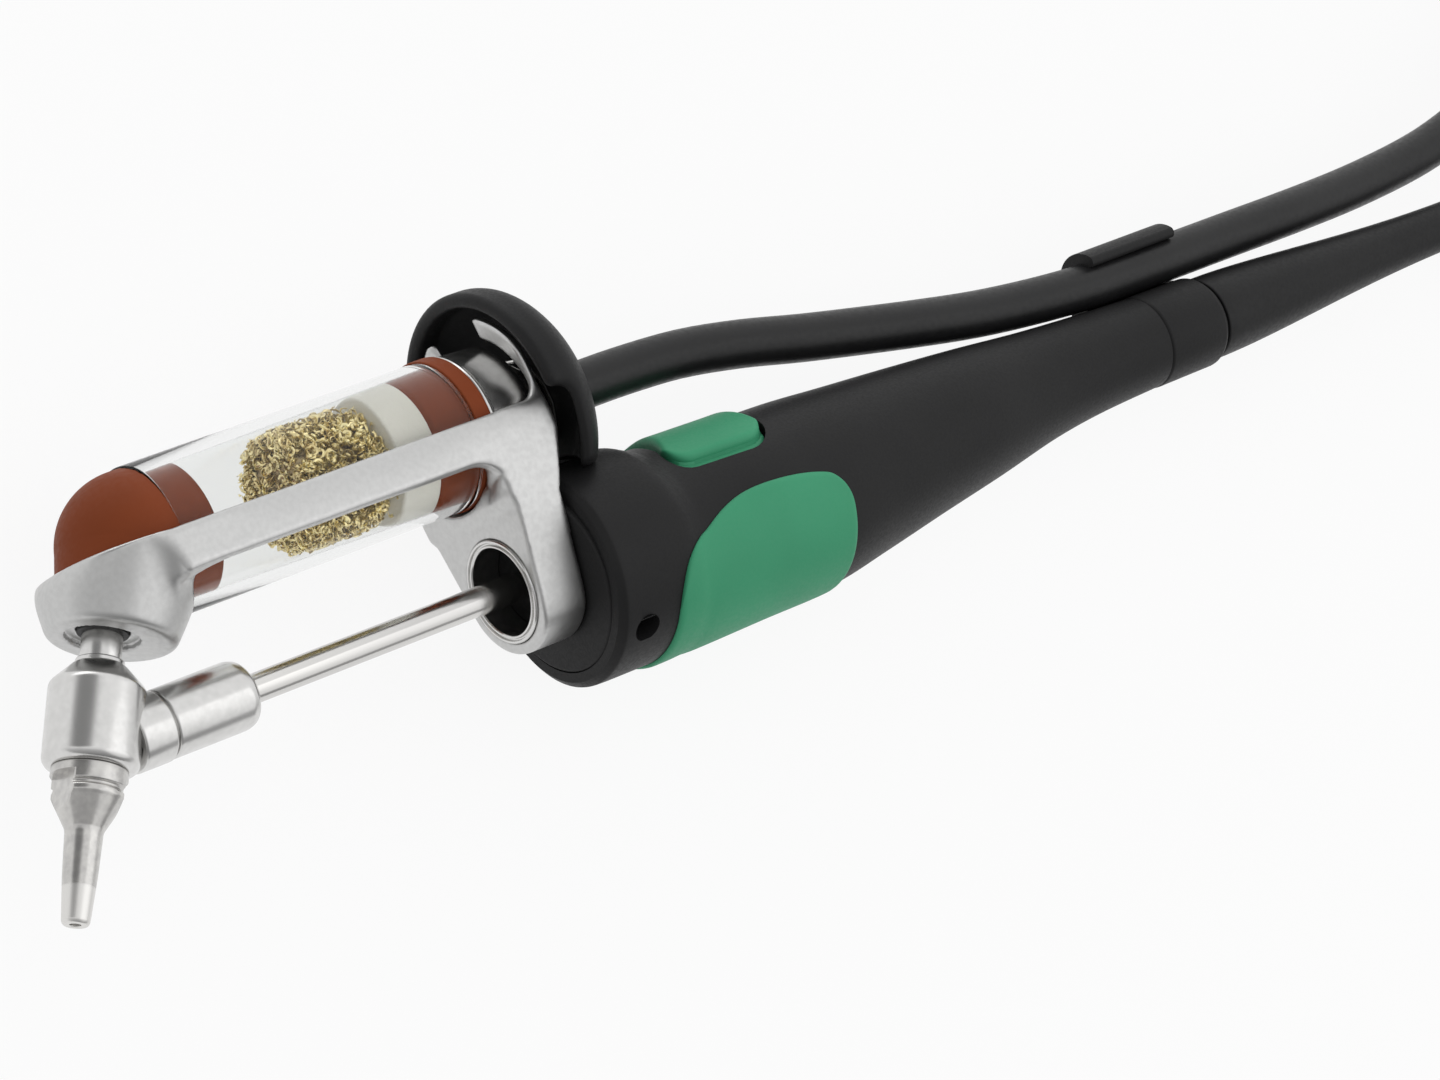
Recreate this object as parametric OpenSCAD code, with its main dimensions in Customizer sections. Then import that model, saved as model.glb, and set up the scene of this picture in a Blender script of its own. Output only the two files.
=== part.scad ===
// Vacuum desoldering iron: heated nozzle, glass solder collector, straight handle, suction hose
// and supply cable. It lies on its right side on a bench, with the cords put away in hanks.
// Tool axes used by the modules: X to the rear, Y to the user's right, Z up. X is 0 at the handle front.

/* [Collector] */
// Outside diameter of the glass tube
glass_d = 20; // [18:0.5:22]
// Wall of the glass tube
glass_wall = 1.5; // [1:0.1:2]
// Length of the glass tube
glass_len = 46; // [40:1:52]
// Height of the tube axis above the heater axis
tube_z = 21.5; // [20:0.5:25]
// Depth of each seal's plug inside the tube
seal_plug = 6; // [4:0.5:8]
// Width of the rear seal's flange
seal_flange = 2.5; // [1.5:0.1:4]
// Length of the brass wool
wool_len = 17; // [10:1:20]
// Thickness of the felt filter
filter_len = 6; // [4:0.5:9]
// Travel of the collector against its spring
collector_travel = 4.5; // [3:0.5:5]

/* [Heater] */
// Angle between the nozzle axis and the heater axis
nozzle_angle = 58.5; // [50:0.5:70]
// Distance from the handle front to the crossing of heater and nozzle axes
reach = 71.5; // [66:0.5:78]
// Diameter of the heater head
head_d = 12; // [10:0.5:13]
// Diameter of the socket behind the head
socket_d = 9; // [8:0.5:10]
// Diameter of the heater stem
stem_d = 3.8; // [3:0.1:5]
// Diameter of the suction stub on top of the head
stub_d = 5.1; // [4:0.1:5.5]
// Length of the nozzle below the crossing of the axes
nozzle_reach = 21.8; // [18:0.1:26]
// Diameter of the nozzle at its tip
tip_d = 3.4; // [2.4:0.1:4]
// Diameter of the suction hole in the nozzle
nozzle_bore_d = 1.4; // [0.8:0.1:1.8]

/* [Frame] */
// Thickness of the boss plate
plate_t = 7.3; // [5:0.1:9]
// Radius of the boss around the heater
boss_r = 8.3; // [7.8:0.1:9]
// Radius of the boss hole
boss_hole_r = 7; // [6.5:0.1:7.2]
// Height of the side arm
arm_h = 5.6; // [4:0.1:7]
// Thickness of the side arm
arm_t = 2.1; // [1.5:0.1:3]
// Wall of the cup around the front seal
cup_wall = 1.4; // [1:0.1:2]
// Radius of the flat cup floor
cup_floor_r = 8.2; // [7.5:0.1:9]

/* [Hood] */
// Outside radius of the suction hood
hood_r = 16.8; // [16:0.1:18]
// Wall of the hood
hood_wall = 2; // [1.5:0.1:2.5]
// Depth of the hood's dish
hood_len = 9.3; // [8.5:0.1:11]

/* [Handle] */
// Distance from the handle front to the cuff
handle_len = 109.6; // [105:0.1:115]
// Radius of the front cap
cap_r = 12.1; // [11:0.1:12.5]
// Length of the rear cuff
cuff_len = 12.4; // [10:0.1:15]
// Radius of the rear cuff
cuff_r = 6.7; // [6.5:0.1:7.5]
// Length of the trigger button
button_len = 17.3; // [14:0.1:20]
// Half width of the trigger button
button_half_w = 11; // [8:0.1:11.5]
// Travel of the trigger button
button_travel = 1.2; // [0.5:0.1:1.5]

/* [Cords] */
// Diameter of the supply cable
cable_d = 6; // [5:0.1:6.5]
// Diameter of the suction hose
hose_d = 6.6; // [6:0.1:7]
// Length of the strain relief behind the cuff
boot_len = 56; // [40:1:60]
// Thickness of the tie round the hanks
tie_t = 1.2; // [0.8:0.1:2]

/* [Hidden] */
$fn = 64;
eps = 0.01;
seat_gap = 0.02;
slide_gap = 0.3;
run_gap = 0.05;

// Collector places along X
glass_r = glass_d / 2;
bore_r = glass_r - glass_wall;
glass_rear = -plate_t;
glass_front = glass_rear - glass_len;
nose_x = glass_front - 1.4;
nose_r = glass_r - 0.2;
cup_x = glass_front - 2.8;
flange_r = glass_r + 0.2;
flange_rear = glass_rear + seal_flange;
filter_rear = glass_rear - seal_plug - seat_gap;
filter_front = filter_rear - filter_len;
wool_front = filter_front - seat_gap - wool_len;
seal_bore_r = 2;

// Heater places along the nozzle axis, counted from the crossing of the axes
head_r = head_d / 2;
nose_along = (nose_x + reach) * cos(nozzle_angle) + tube_z * sin(nozzle_angle);
cup_floor_t = 2.9;
stub_gap = 2.8;
head_cone = 3.5;
cup_floor = nose_along - nose_r - cup_floor_t;
head_bottom = -2.4;
head_top = cup_floor - stub_gap;
head_shoulder = head_top - head_cone;
socket_r = socket_d / 2;
socket_end = -reach + 23.4;
collar_r = socket_r + 0.12;
collar_end = -reach + 10;
stem_r = stem_d / 2;
stem_rear = 15.5;
block_r = 5;
block_front = 5;
block_rear = 16.4;
stub_r = stub_d / 2;
stub_top = cup_floor + 6;
tip_r = tip_d / 2;
thread_r = 3.4;
thread_top = 5;
neck_flat = 3.4;
flat_top = -3.5;
flat_low = -9;

// Frame
arm_top = tube_z - 0.7;
arm_in = glass_r + 0.5;
arm_out = arm_in + arm_t;
cup_r = flange_r + seat_gap + cup_wall;
yoke_in = flange_r + slide_gap;
yoke_out = yoke_in + 2.2;
yoke_x = 0.2;
yoke_t = 2.6;
yoke_open = 19;
window_rear = -10.2;
window_r = 3.2;
saddle_z = tube_z - sqrt(pow(yoke_in, 2) - 36);

// Hood
hood_front = 1;
hood_back = hood_front + hood_len;
hood_floor = hood_back - 2;
hood_rear = hood_back + 5.2;
guide_end = hood_rear - 1.6;
socket_wall = 1.4;
foot_cut_r = 14.46;
lip_depth = 3;

// Bell behind the collector and its spring
bell_back = flange_rear + 5.4;
neck_r = 4.5;
bell_end = guide_end - collector_travel - slide_gap;
spring_wire = 0.6;
spring_turns = 4;
spring_r = 6.2;

// Handle outline: distance, centre height, half height, half width
grip_rear = 42;
taper = handle_len - grip_rear;
stations = [[0.6, -1.2, 13.4, 13.4], [1.3, -1.2, 14.1, 14.1], [2.6, -1.2, 14.4, 14.4], [12, -1.2, 14.4, 14.4],
            [15, -1.6, 13.9, 13.9], [18, -2.1, 13.5, 13.6], [30, -2.2, 13.2, 13.4],
            [grip_rear, -2.2, 13.0, 13.1], [grip_rear + 0.148 * taper, -1.8, 12.0, 12.2],
            [grip_rear + 0.325 * taper, -1.2, 10.7, 10.9], [grip_rear + 0.503 * taper, -0.7, 9.4, 9.5],
            [grip_rear + 0.68 * taper, -0.2, 7.9, 7.9], [grip_rear + 0.828 * taper, 0, 7.1, 7.1],
            [handle_len, 0, 6.6, 6.6]];
rim_slant = 0.05;
slant_end = 16;
ring_sides = 40;
rings_per_station = 2;
collar_station = stations[2];
screw_x = 4.4;
screw_turn = 47;
screw_hole_r = 2.15;
screw_depth = collar_station[2] - cap_r - 0.1;
screw_head = 0.9;
screw_recess = 0.5;

// Trigger and what is under it
button_x = 17.5;
button_proud = 0.6;
button_t = 2.8;
button_corner = 3.5;
pocket_gap = 0.35;
pocket_floor = 1;
switch_size = [10.6, 5.8, 6.4];
switch_x = 27;
trigger_spring_r = 2;
trigger_wire = 0.5;
trigger_spring_x = 21;

// Finger grip on the belly; its edge is a share of the length and an angle up from the belly
grip_x = 10;
grip_len = 31.4;
grip_edge = [[0, 46], [0.016, 58], [0.064, 71], [0.172, 83], [0.331, 94], [0.497, 99], [0.717, 98],
             [0.892, 93], [0.955, 87], [0.987, 78], [1, 66]];
grip_gap = 0.1;
grip_t = 0.55;
grip_sides = 24;

// Hose clip on the cuff
clip_x = handle_len - 5;
clip_end = handle_len + cuff_len - 1;
clip_wall = 1.6;
hose_r = hose_d / 2;
hose_z = 10.1;
clip_gap = 0.1;
clip_lip = 135;

// Cords: distance along X, height above the heater axis, height above the bench
cable_r = cable_d / 2;
cuff_end = handle_len + cuff_len;
boot_end = cuff_end + boot_len;
boot_r = 6;
tie_gap = 0.3;
tie_w = 12;
hank_x = 305;
hank_up = 9;
hank_run = 110;
cable_fold = 3 * cable_d;
hose_fold = 3 * hose_d;
layer_1 = tie_t + tie_gap + cable_r;
hose_base = tie_t + tie_gap + 2 * cable_d + tie_gap;
tube_sides = 10;
plug_r = 7.5;
nose_pin_r = 5.5;
ring_neck_r = 6.1;
spigot_r = 3;
fitting_r = 5;
cable_route = [[boot_end, 0, hood_r], [boot_end + 2, 0, hood_r], [186, -0.3, 16.5], [194, -1.6, 15.5],
               [202, -3.5, 13.9], [210, -5.9, 12], [218, -8.5, 9.9], [226, -10.9, 7.8], [234, -13, 6.1],
               [242, -14.5, 4.9], [248, -15, 4.5], [253, -15, 4.5]];
cable_tail_route = [[357, -15, 10.5], [364, -15, 10.4], [371, -14.7, 10], [378, -14.1, 9.2],
                    [385, -13.5, 8.4], [392, -13.1, 7.8], [398, -13, 7.5], [403, -13, 7.5]];
hose_route = [[hood_rear, 21.5, 16.8], [24, 21.5, 16.8], [34, 21, 16.8], [44, 19.5, 16.8], [54, 17.4, 16.8],
              [64, 15.5, 16.8], [74, 13.7, 16.8], [84, 12.1, 16.8], [94, 11, 16.8], [104, 10.3, 16.8],
              [112, 10.1, 16.8], [122, 10.1, 16.8], [134, 10.1, 16.6], [148, 10.1, 16], [162, 10.4, 15.2],
              [176, 11.4, 14.4], [186, 13, 14.1], [196, 15.6, 14.1], [206, 19.2, 14.5], [216, 23.4, 15.2],
              [226, 27.8, 16.1], [236, 31.8, 16.9], [244, 34.2, 17.1], [250, 35.2, 17.1], [253, 35.4, 17.1]];
hose_tail_route = [[357, 35.4, 23.7], [364, 35.4, 23.7], [371, 35.4, 23.6], [378, 35.3, 22.3],
                   [385, 35.1, 20.1], [392, 34.8, 17.1], [399, 34.5, 13.9], [406, 34.2, 10.7],
                   [413, 34, 7.9], [420, 34, 5.9], [428, 34, 5], [434, 34, 5]];

// Middle of the tool's box, which is the origin
tip_place = [-reach - nozzle_reach * cos(nozzle_angle), 0, -nozzle_reach * sin(nozzle_angle)];
tool_front = tip_place[0] - tip_r * sin(nozzle_angle);
tool_low = tip_place[2] - tip_r * cos(nozzle_angle);
tool_high = tube_z + hood_r;
mid_x = (tool_front + boot_end) / 2;
mid_up = (tool_low + tool_high) / 2;

function on_bench(p) = [p[0] - mid_x, p[1] - mid_up, p[2]];

// Tool lying on its right side
module lay() {
    translate([-mid_x, -mid_up, hood_r]) rotate([-90, 0, 0]) children();
}

// Upright along the nozzle axis, from the crossing of the axes
module on_nozzle_axis(along = 0) {
    translate([-reach, 0, 0]) rotate([0, 90 - nozzle_angle, 0]) translate([0, 0, along]) children();
}

// Turned solid along X; the profile is a list of distance and radius
module turned(profile) {
    rotate([0, 90, 0]) rotate_extrude() polygon([for (p = profile) [p[1], p[0]]]);
}

module rod_x(from, to, r) {
    translate([from, 0, 0]) rotate([0, 90, 0]) cylinder(h = to - from, r = r);
}

module on_tube_axis() {
    translate([0, 0, tube_z]) children();
}

// Smooth values between the handle's stations
function mix(a, b, c, d, t) = 0.5 * (2 * b + (c - a) * t + (2 * a - 5 * b + 4 * c - d) * t * t
                                     + (3 * b - a - 3 * c + d) * t * t * t);
last_station = len(stations) - 1;
function station_at(i) = stations[min(max(i, 0), last_station)];
function handle_ring(i, t) = mix(station_at(i - 1), station_at(i), station_at(i + 1), station_at(i + 2), t);
handle_rings = concat([for (i = [0 : last_station - 1], k = [0 : rings_per_station - 1])
                       handle_ring(i, k / rings_per_station)], [stations[last_station]]);

// Handle outline at one distance, by straight steps between the smooth rings
function at_x(x) = let (i = max([for (k = [0 : len(handle_rings) - 2]) handle_rings[k][0] <= x ? k : 0]),
                        a = handle_rings[i], b = handle_rings[i + 1])
                   a + (b - a) * (x - a[0]) / (b[0] - a[0]);
function slant(x, z) = rim_slant * z * max(0, 1 - x / slant_end);
function ring_point(s, angle, proud) =
    let (y = (s[3] + proud) * sin(angle), z = s[1] - (s[2] + proud) * cos(angle))
    [s[0] + slant(s[0], z), y, z];

// Closed skin over a grid of points, all rows of the same even length, both ends capped by strips across
module closed_grid(rows) {
    n = len(rows[0]);
    m = len(rows);
    sides = [for (i = [0 : m - 2], j = [0 : n - 1], half = [0, 1]) let (k = (j + 1) % n)
             half == 0 ? [i * n + j, i * n + k, (i + 1) * n + j]
                       : [i * n + k, (i + 1) * n + k, (i + 1) * n + j]];
    across = [for (j = [0 : n / 2 - 2], half = [0, 1])
              half == 0 ? [n - 1 - j, j + 1, j] : [n - 1 - j, n - 2 - j, j + 1]];
    last = [for (f = across) [for (k = [2, 1, 0]) (m - 1) * n + f[k]]];
    polyhedron(points = [for (r = rows, p = r) p], faces = concat(sides, across, last), convexity = 4);
}

// Tube swept along a route
function unit(v) = v / norm(v);
function heading(route, i) = unit(route[min(i + 1, len(route) - 1)] - route[max(i - 1, 0)]);
function tube_ring(route, i, r) =
    let (h = heading(route, i), side = unit(cross([0, 0, 1], h)), top = cross(h, side))
    [for (k = [0 : tube_sides - 1]) route[i] + r * (cos(360 * k / tube_sides) * side
                                                    + sin(360 * k / tube_sides) * top)];
module cord(route, r) {
    placed = [for (p = route) on_bench(p)];
    closed_grid([for (i = [0 : len(placed) - 1])
                 [for (k = [tube_sides - 1 : -1 : 0]) tube_ring(placed, i, r)[k]]]);
}

// Coil spring along Z
module coil(r, wire, turns, height) {
    steps = 14;
    total = steps * turns;
    rise = (height - wire) / total;
    closed_grid([for (i = [0 : total]) let (a = 360 * i / steps)
                 [for (k = [0 : 7]) let (b = -45 * k, d = r + wire / 2 * cos(b))
                  [d * cos(a), d * sin(a), wire / 2 + rise * i + wire / 2 * sin(b)]]]);
}

module desoldering_nozzle() {
    color("silver") lay() on_nozzle_axis() difference() {
        rotate_extrude() polygon([[0, -nozzle_reach], [tip_r - 0.15, -nozzle_reach],
            [tip_r, -nozzle_reach + 0.3], [tip_r + 0.45, -nozzle_reach + 6], [tip_r + 0.65, -10.4],
            [tip_r + 0.75, -9.9], [4.35, -6.4], [4.6, -6], [4.6, -5.4], [4.35, -5.1], [4.35, -4.8],
            [4.75, -4.6], [4.75, head_bottom - seat_gap], [thread_r, head_bottom - seat_gap],
            [thread_r, thread_top], [0, thread_top]]);
        translate([0, 0, -nozzle_reach - eps])
            cylinder(h = nozzle_reach + thread_top + 2 * eps, d = nozzle_bore_d);
        for (turn = [0, 180])
            rotate([0, 0, turn]) translate([neck_flat, -5, flat_low]) cube([2, 10, flat_top - flat_low]);
    }
}

module heater_head() {
    color("gainsboro") lay() difference() {
        on_nozzle_axis() difference() {
            rotate_extrude() polygon([[0, head_bottom], [4.9, head_bottom], [5.55, head_bottom + 0.25],
                [head_r, head_bottom + 0.9], [head_r, head_shoulder], [3.4, head_top - 0.8],
                [3.05, head_top - 0.7], [3.05, head_top], [0, head_top]]);
            translate([0, 0, head_bottom - eps])
                cylinder(h = thread_top - head_bottom + seat_gap + eps, r = thread_r + seat_gap);
            cylinder(h = head_top + eps, r = stub_r - 0.8);
            translate([0, 0, head_top - 2]) cylinder(h = 2 + eps, r = stub_r + seat_gap);
        }
        rod_x(-reach + thread_r + 0.6, socket_end, collar_r + seat_gap);
    }
}

module heater_socket() {
    color("gainsboro") lay() difference() {
        intersection() {
            turned([[-reach + thread_r + 0.6, 0], [-reach + thread_r + 0.6, collar_r],
                    [collar_end - 0.3, collar_r], [collar_end - 0.1, collar_r - 0.3],
                    [collar_end + 0.1, collar_r - 0.3], [collar_end + 0.3, socket_r],
                    [socket_end - 3, socket_r],
                    [socket_end - 1.6, socket_r - 0.5], [socket_end - 0.5, socket_r - 1.6],
                    [socket_end, stem_r + 0.6], [socket_end, 0]]);
            on_nozzle_axis(head_bottom + 0.2) translate([-head_r, -head_r, 0]) cube([40, head_d, 60]);
        }
        on_nozzle_axis(head_bottom - eps) cylinder(h = 10, r = thread_r + 0.6);
        rod_x(socket_end - 8, socket_end + eps, stem_r + seat_gap);
    }
}

module suction_stub() {
    color("silver") lay() on_nozzle_axis(head_top - 2 + seat_gap) difference() {
        cylinder(h = stub_top - head_top + 2, r = stub_r);
        translate([0, 0, -eps]) cylinder(h = stub_top - head_top + 3, r = stub_r - 0.8);
    }
}

module heater_stem() {
    color("lightgray") lay() rod_x(socket_end - 8 + seat_gap, stem_rear, stem_r);
}

module contact_block() {
    color("black") lay() difference() {
        rod_x(block_front, block_rear, block_r);
        rod_x(block_front - eps, stem_rear + seat_gap, stem_r + seat_gap);
    }
}

// Outline of the boss plate, seen from the front
module plate_outline() {
    hull() {
        circle(r = boss_r, $fn = 32);
        translate([-arm_out, saddle_z - 1.5]) square([2 * arm_out - 2.2, 1.5]);
    }
}

module frame_cup() {
    hull() {
        on_nozzle_axis(cup_floor) cylinder(h = 1, r1 = cup_floor_r - 0.6, r2 = cup_floor_r, $fn = 32);
        translate([cup_x, 0, arm_top - 1.5]) cylinder(h = 1.5, r = cup_r + 0.3, $fn = 32);
    }
}

module tool_frame() {
    color("silver") lay() difference() {
        union() {
            frame_cup();
            translate([cup_x, -arm_out, arm_top - arm_h]) cube([-cup_x + yoke_x + yoke_t, arm_t, arm_h]);
            translate([-plate_t, 0, 0]) rotate([90, 0, 90]) linear_extrude(plate_t) plate_outline();
            translate([-plate_t - 4, -arm_out, saddle_z - 1.5])
                cube([plate_t + 4 + yoke_x + yoke_t, arm_t, arm_top - saddle_z]);
            on_tube_axis() difference() {
                rod_x(yoke_x, yoke_x + yoke_t, yoke_out);
                rotate([90, 0, 90]) linear_extrude(20)
                    polygon([[0, 0], [-30 * tan(yoke_open), 30], [30 * tan(yoke_open), 30]]);
            }
            on_tube_axis() intersection() {
                rod_x(-3, yoke_x + yoke_t, yoke_out);
                translate([-3, -yoke_out, -yoke_out]) cube([6, 2 * yoke_out, yoke_out]);
            }
            translate([-plate_t, -arm_out, saddle_z - 3]) cube([plate_t, 2 * arm_out - 2.2, 3]);
        }
        translate([nose_x, 0, tube_z]) sphere(r = nose_r + seat_gap);
        on_tube_axis() rod_x(nose_x, yoke_x + yoke_t + eps, yoke_in);
        on_nozzle_axis(cup_floor - 1) cylinder(h = 20, r = 3.25);
        on_nozzle_axis(cup_floor - eps) difference() {
            cylinder(h = 0.5, r = 4.7);
            cylinder(h = 0.5, r = 4.1);
        }
        rod_x(-plate_t - eps, eps, boss_hole_r);
        on_tube_axis() difference() {
            rod_x(hood_front - slide_gap, hood_back, hood_r + 2);
            rod_x(hood_front - 1, hood_back + 1, hood_r - hood_wall - slide_gap);
        }
        translate([0, 0, collar_station[1]]) rod_x(0, hood_back, foot_cut_r + slide_gap);
        translate([window_rear - window_r, -arm_out - eps, arm_top - arm_h - window_r])
            rotate([-90, 0, 0]) cylinder(h = arm_t + 2, r = window_r);
    }
}

module stub_grommet() {
    color("black") lay() on_nozzle_axis(cup_floor + 0.6) difference() {
        cylinder(h = 1.4, r = 3.25 - seat_gap);
        translate([0, 0, -eps]) cylinder(h = 3, r = stub_r + seat_gap);
    }
}

module boss_bush() {
    color("whitesmoke") lay() difference() {
        rod_x(-plate_t - 0.2, -seat_gap, boss_hole_r - seat_gap);
        rod_x(-plate_t - 1, 0, boss_hole_r - 1.15);
    }
}

module front_seal() {
    color("saddlebrown") lay() difference() {
        on_tube_axis()
            turned(concat([for (a = [0 : 6 : 90]) [nose_x - nose_r * cos(a), nose_r * sin(a)]],
                          [[glass_front - seat_gap, nose_r], [glass_front - seat_gap, bore_r - run_gap],
                           [glass_front + seal_plug - 0.8, bore_r - run_gap],
                           [glass_front + seal_plug, bore_r - 0.8], [glass_front + seal_plug, 0]]));
        on_nozzle_axis(cup_floor) cylinder(h = stub_top - cup_floor + 0.4, r = stub_r + seat_gap);
        on_nozzle_axis(stub_top) cylinder(h = tube_z / sin(nozzle_angle) - stub_top, r = seal_bore_r - 0.4);
        on_tube_axis() rod_x(-reach + tube_z / tan(nozzle_angle) - 2.5,
                             glass_front + seal_plug + eps, seal_bore_r);
    }
}

module glass_tube() {
    color("lightcyan", 0.4) lay() on_tube_axis() difference() {
        rod_x(glass_front, glass_rear, glass_r);
        rod_x(glass_front - eps, glass_rear + eps, bore_r);
    }
}

module rear_seal() {
    color("saddlebrown") lay() on_tube_axis() difference() {
        turned([[filter_rear + seat_gap, 0], [filter_rear + seat_gap, bore_r - 0.6],
                [filter_rear + 0.7, bore_r - seat_gap], [glass_rear + seat_gap, bore_r - seat_gap],
                [glass_rear + seat_gap, flange_r], [flange_rear, flange_r], [flange_rear, 0]]);
        rod_x(filter_rear - eps, flange_rear + eps, seal_bore_r);
    }
}

module brass_wool() {
    color("gold") lay() on_tube_axis()
        turned([[wool_front, 0], [wool_front, bore_r - 2], [wool_front + 2, bore_r - 0.15],
                [wool_front + wool_len, bore_r - 0.15], [wool_front + wool_len, 0]]);
}

module felt_filter() {
    color("ivory") lay() on_tube_axis() rod_x(filter_front, filter_rear, bore_r - run_gap);
}

module suction_bell() {
    color("gainsboro") lay() on_tube_axis() difference() {
        turned([[flange_rear + seat_gap, 0], [flange_rear + seat_gap, flange_r - 0.25],
                [flange_rear + 0.5, flange_r - 0.1], [flange_rear + 2.8, flange_r - 0.9],
                [flange_rear + 3, flange_r - 1.3], [bell_back - 0.6, flange_r - 1.8],
                [bell_back, flange_r - 2.4], [bell_back, neck_r], [bell_end - 0.5, neck_r],
                [bell_end, neck_r - 0.5], [bell_end, 0]]);
        rod_x(flange_rear - eps, bell_end + eps, seal_bore_r);
    }
}

module bell_spring() {
    color("silver") lay() on_tube_axis() translate([bell_back + seat_gap, 0, 0]) rotate([0, 90, 0])
        coil(spring_r, spring_wire, spring_turns, hood_floor - bell_back - 2 * seat_gap);
}

module suction_hood() {
    color("dimgray") lay() difference() {
        on_tube_axis() difference() {
            turned([[hood_front, 0], [hood_front, hood_r - 0.6], [hood_front + 0.6, hood_r],
                    [hood_back - 6, hood_r], [hood_back - 4.7, hood_r - 0.4],
                    [hood_back - 3.5, hood_r - 1.2], [hood_back - 2.3, hood_r - 2.4],
                    [hood_back - 1.1, hood_r - 4], [hood_back - 0.4, hood_r - 5.6], [hood_back, hood_r - 8],
                    [hood_back + 0.6, neck_r + socket_wall + 1], [hood_back + 1.6, neck_r + socket_wall],
                    [guide_end - 1.2, neck_r + socket_wall], [hood_rear, hose_r + 0.5], [hood_rear, 0]]);
            turned([[hood_front - eps, 0], [hood_front - eps, hood_r - hood_wall],
                    [hood_floor - 3.6, hood_r - hood_wall], [hood_floor - 1, hood_r - hood_wall - 2.6],
                    [hood_floor, hood_r - hood_wall - 5], [hood_floor, 0]]);
            rod_x(hood_floor - eps, guide_end, neck_r + run_gap);
            rod_x(guide_end - eps, hood_rear + eps, hose_r - 0.9);
        }
        translate([0, 0, collar_station[1]]) rod_x(hood_front - 1, hood_rear + 1, foot_cut_r + seat_gap);
        translate([hood_front - 1, -hood_r - 1, -hood_r]) cube([hood_rear, 2 * hood_r + 2, hood_r + 6]);
        translate([hood_front - 1, -hood_r - 1, 0]) cube([lip_depth + 1, 2 * hood_r + 2, arm_top]);
    }
}

module hose_nipple() {
    color("gray") lay() on_tube_axis() difference() {
        rod_x(guide_end + seat_gap, hood_rear - seat_gap, hose_r - 0.9 - seat_gap);
        rod_x(guide_end - 1, hood_rear + 1, 1.4);
    }
}

module handle_loft(proud = 0) {
    closed_grid([for (s = handle_rings)
                 [for (k = [0 : ring_sides - 1]) ring_point(s, 360 * k / ring_sides, proud)]]);
}

// Plan of the trigger opening, grown by a gap
module button_plan(gap) {
    r = button_corner + gap;
    w = button_half_w + gap;
    l = button_len + 2 * gap;
    translate([button_x - gap, 0]) {
        translate([r, -w]) square([l - 2 * r, 2 * w]);
        translate([0, r - w]) square([l, 2 * w - 2 * r]);
        for (x = [r, l - r], y = [r - w, w - r]) translate([x, y]) circle(r = r);
    }
}

module side_holes(r, depth) {
    for (side = [-1, 1])
        translate([screw_x, 0, collar_station[1]]) rotate([side * (90 + screw_turn), 0, 0])
            translate([0, 0, collar_station[2] - depth]) cylinder(h = depth + 2, r = r);
}

module handle_body() {
    color("dimgray") lay() difference() {
        handle_loft();
        translate([0, 0, pocket_floor]) linear_extrude(20) button_plan(pocket_gap);
        translate([0, 0, collar_station[1]]) rod_x(-5, 5, cap_r + seat_gap);
        on_tube_axis() rod_x(-1, bell_back + collector_travel + slide_gap, flange_r + slide_gap);
        rod_x(0, block_rear + seat_gap, block_r + seat_gap);
        rod_x(handle_len - 8, handle_len + 1, 4.6);
        side_holes(screw_hole_r, screw_depth);
    }
}

module front_cap() {
    color("black") lay() difference() {
        union() {
            translate([0, 0, collar_station[1]]) rod_x(seat_gap, 5 - seat_gap, cap_r);
            rod_x(-3, seat_gap + eps, boss_hole_r - 1.15 - seat_gap);
        }
        rod_x(-4, 6, stem_r + seat_gap);
    }
}

module side_screws() {
    color("black") lay() for (side = [-1, 1])
        translate([screw_x, 0, collar_station[1]]) rotate([side * (90 + screw_turn), 0, 0])
            translate([0, 0, collar_station[2] - screw_depth + seat_gap]) difference() {
                cylinder(h = screw_head, r = screw_hole_r - seat_gap);
                translate([0, 0, screw_head - screw_recess]) cylinder(h = 1, r = 1.1, $fn = 6);
            }
}

// Saddle round the belly
module finger_grip() {
    last = len(grip_edge) - 1;
    places = concat([for (i = [0 : last - 1], k = [0, 0.5])
                     grip_edge[i] + k * (grip_edge[i + 1] - grip_edge[i])], [grip_edge[last]]);
    color("seagreen") lay() closed_grid([for (e = places) let (s = at_x(grip_x + grip_len * e[0]))
        concat([for (k = [0 : grip_sides]) ring_point(s, e[1] * (2 * k / grip_sides - 1), grip_t)],
               [for (k = [grip_sides : -1 : 0]) ring_point(s, e[1] * (2 * k / grip_sides - 1), grip_gap)])]);
}

// Half width of the button at one distance, with rounded corners
function button_edge(x) = let (d = min(x - button_x, button_x + button_len - x), c = button_corner)
    d >= c ? button_half_w : button_half_w - c + sqrt(max(0, c * c - (c - d) * (c - d)));
module trigger_button() {
    rows = 20;
    color("seagreen") lay() difference() {
        closed_grid([for (i = [0 : rows]) let (u = (1 - cos(180 * i / rows)) / 2,
            x = button_x + 0.02 + (button_len - 0.04) * u, s = at_x(x),
            a = asin(button_edge(x) / (s[3] + button_proud)), dip = button_proud - 0.5 * pow(cos(180 * u), 4))
            concat([for (k = [0 : 16]) ring_point(s, 180 - a + 2 * a * k / 16, dip)],
                   [for (k = [16 : -1 : 0]) let (p = ring_point(s, 180 - a + 2 * a * k / 16, dip))
                    [p[0], p[1], p[2] - button_t]])]);
        translate([trigger_spring_x, 0, 0])
            cylinder(h = at_x(trigger_spring_x)[1] + at_x(trigger_spring_x)[2] - 1,
                     r = trigger_spring_r + trigger_wire);
    }
}

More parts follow.
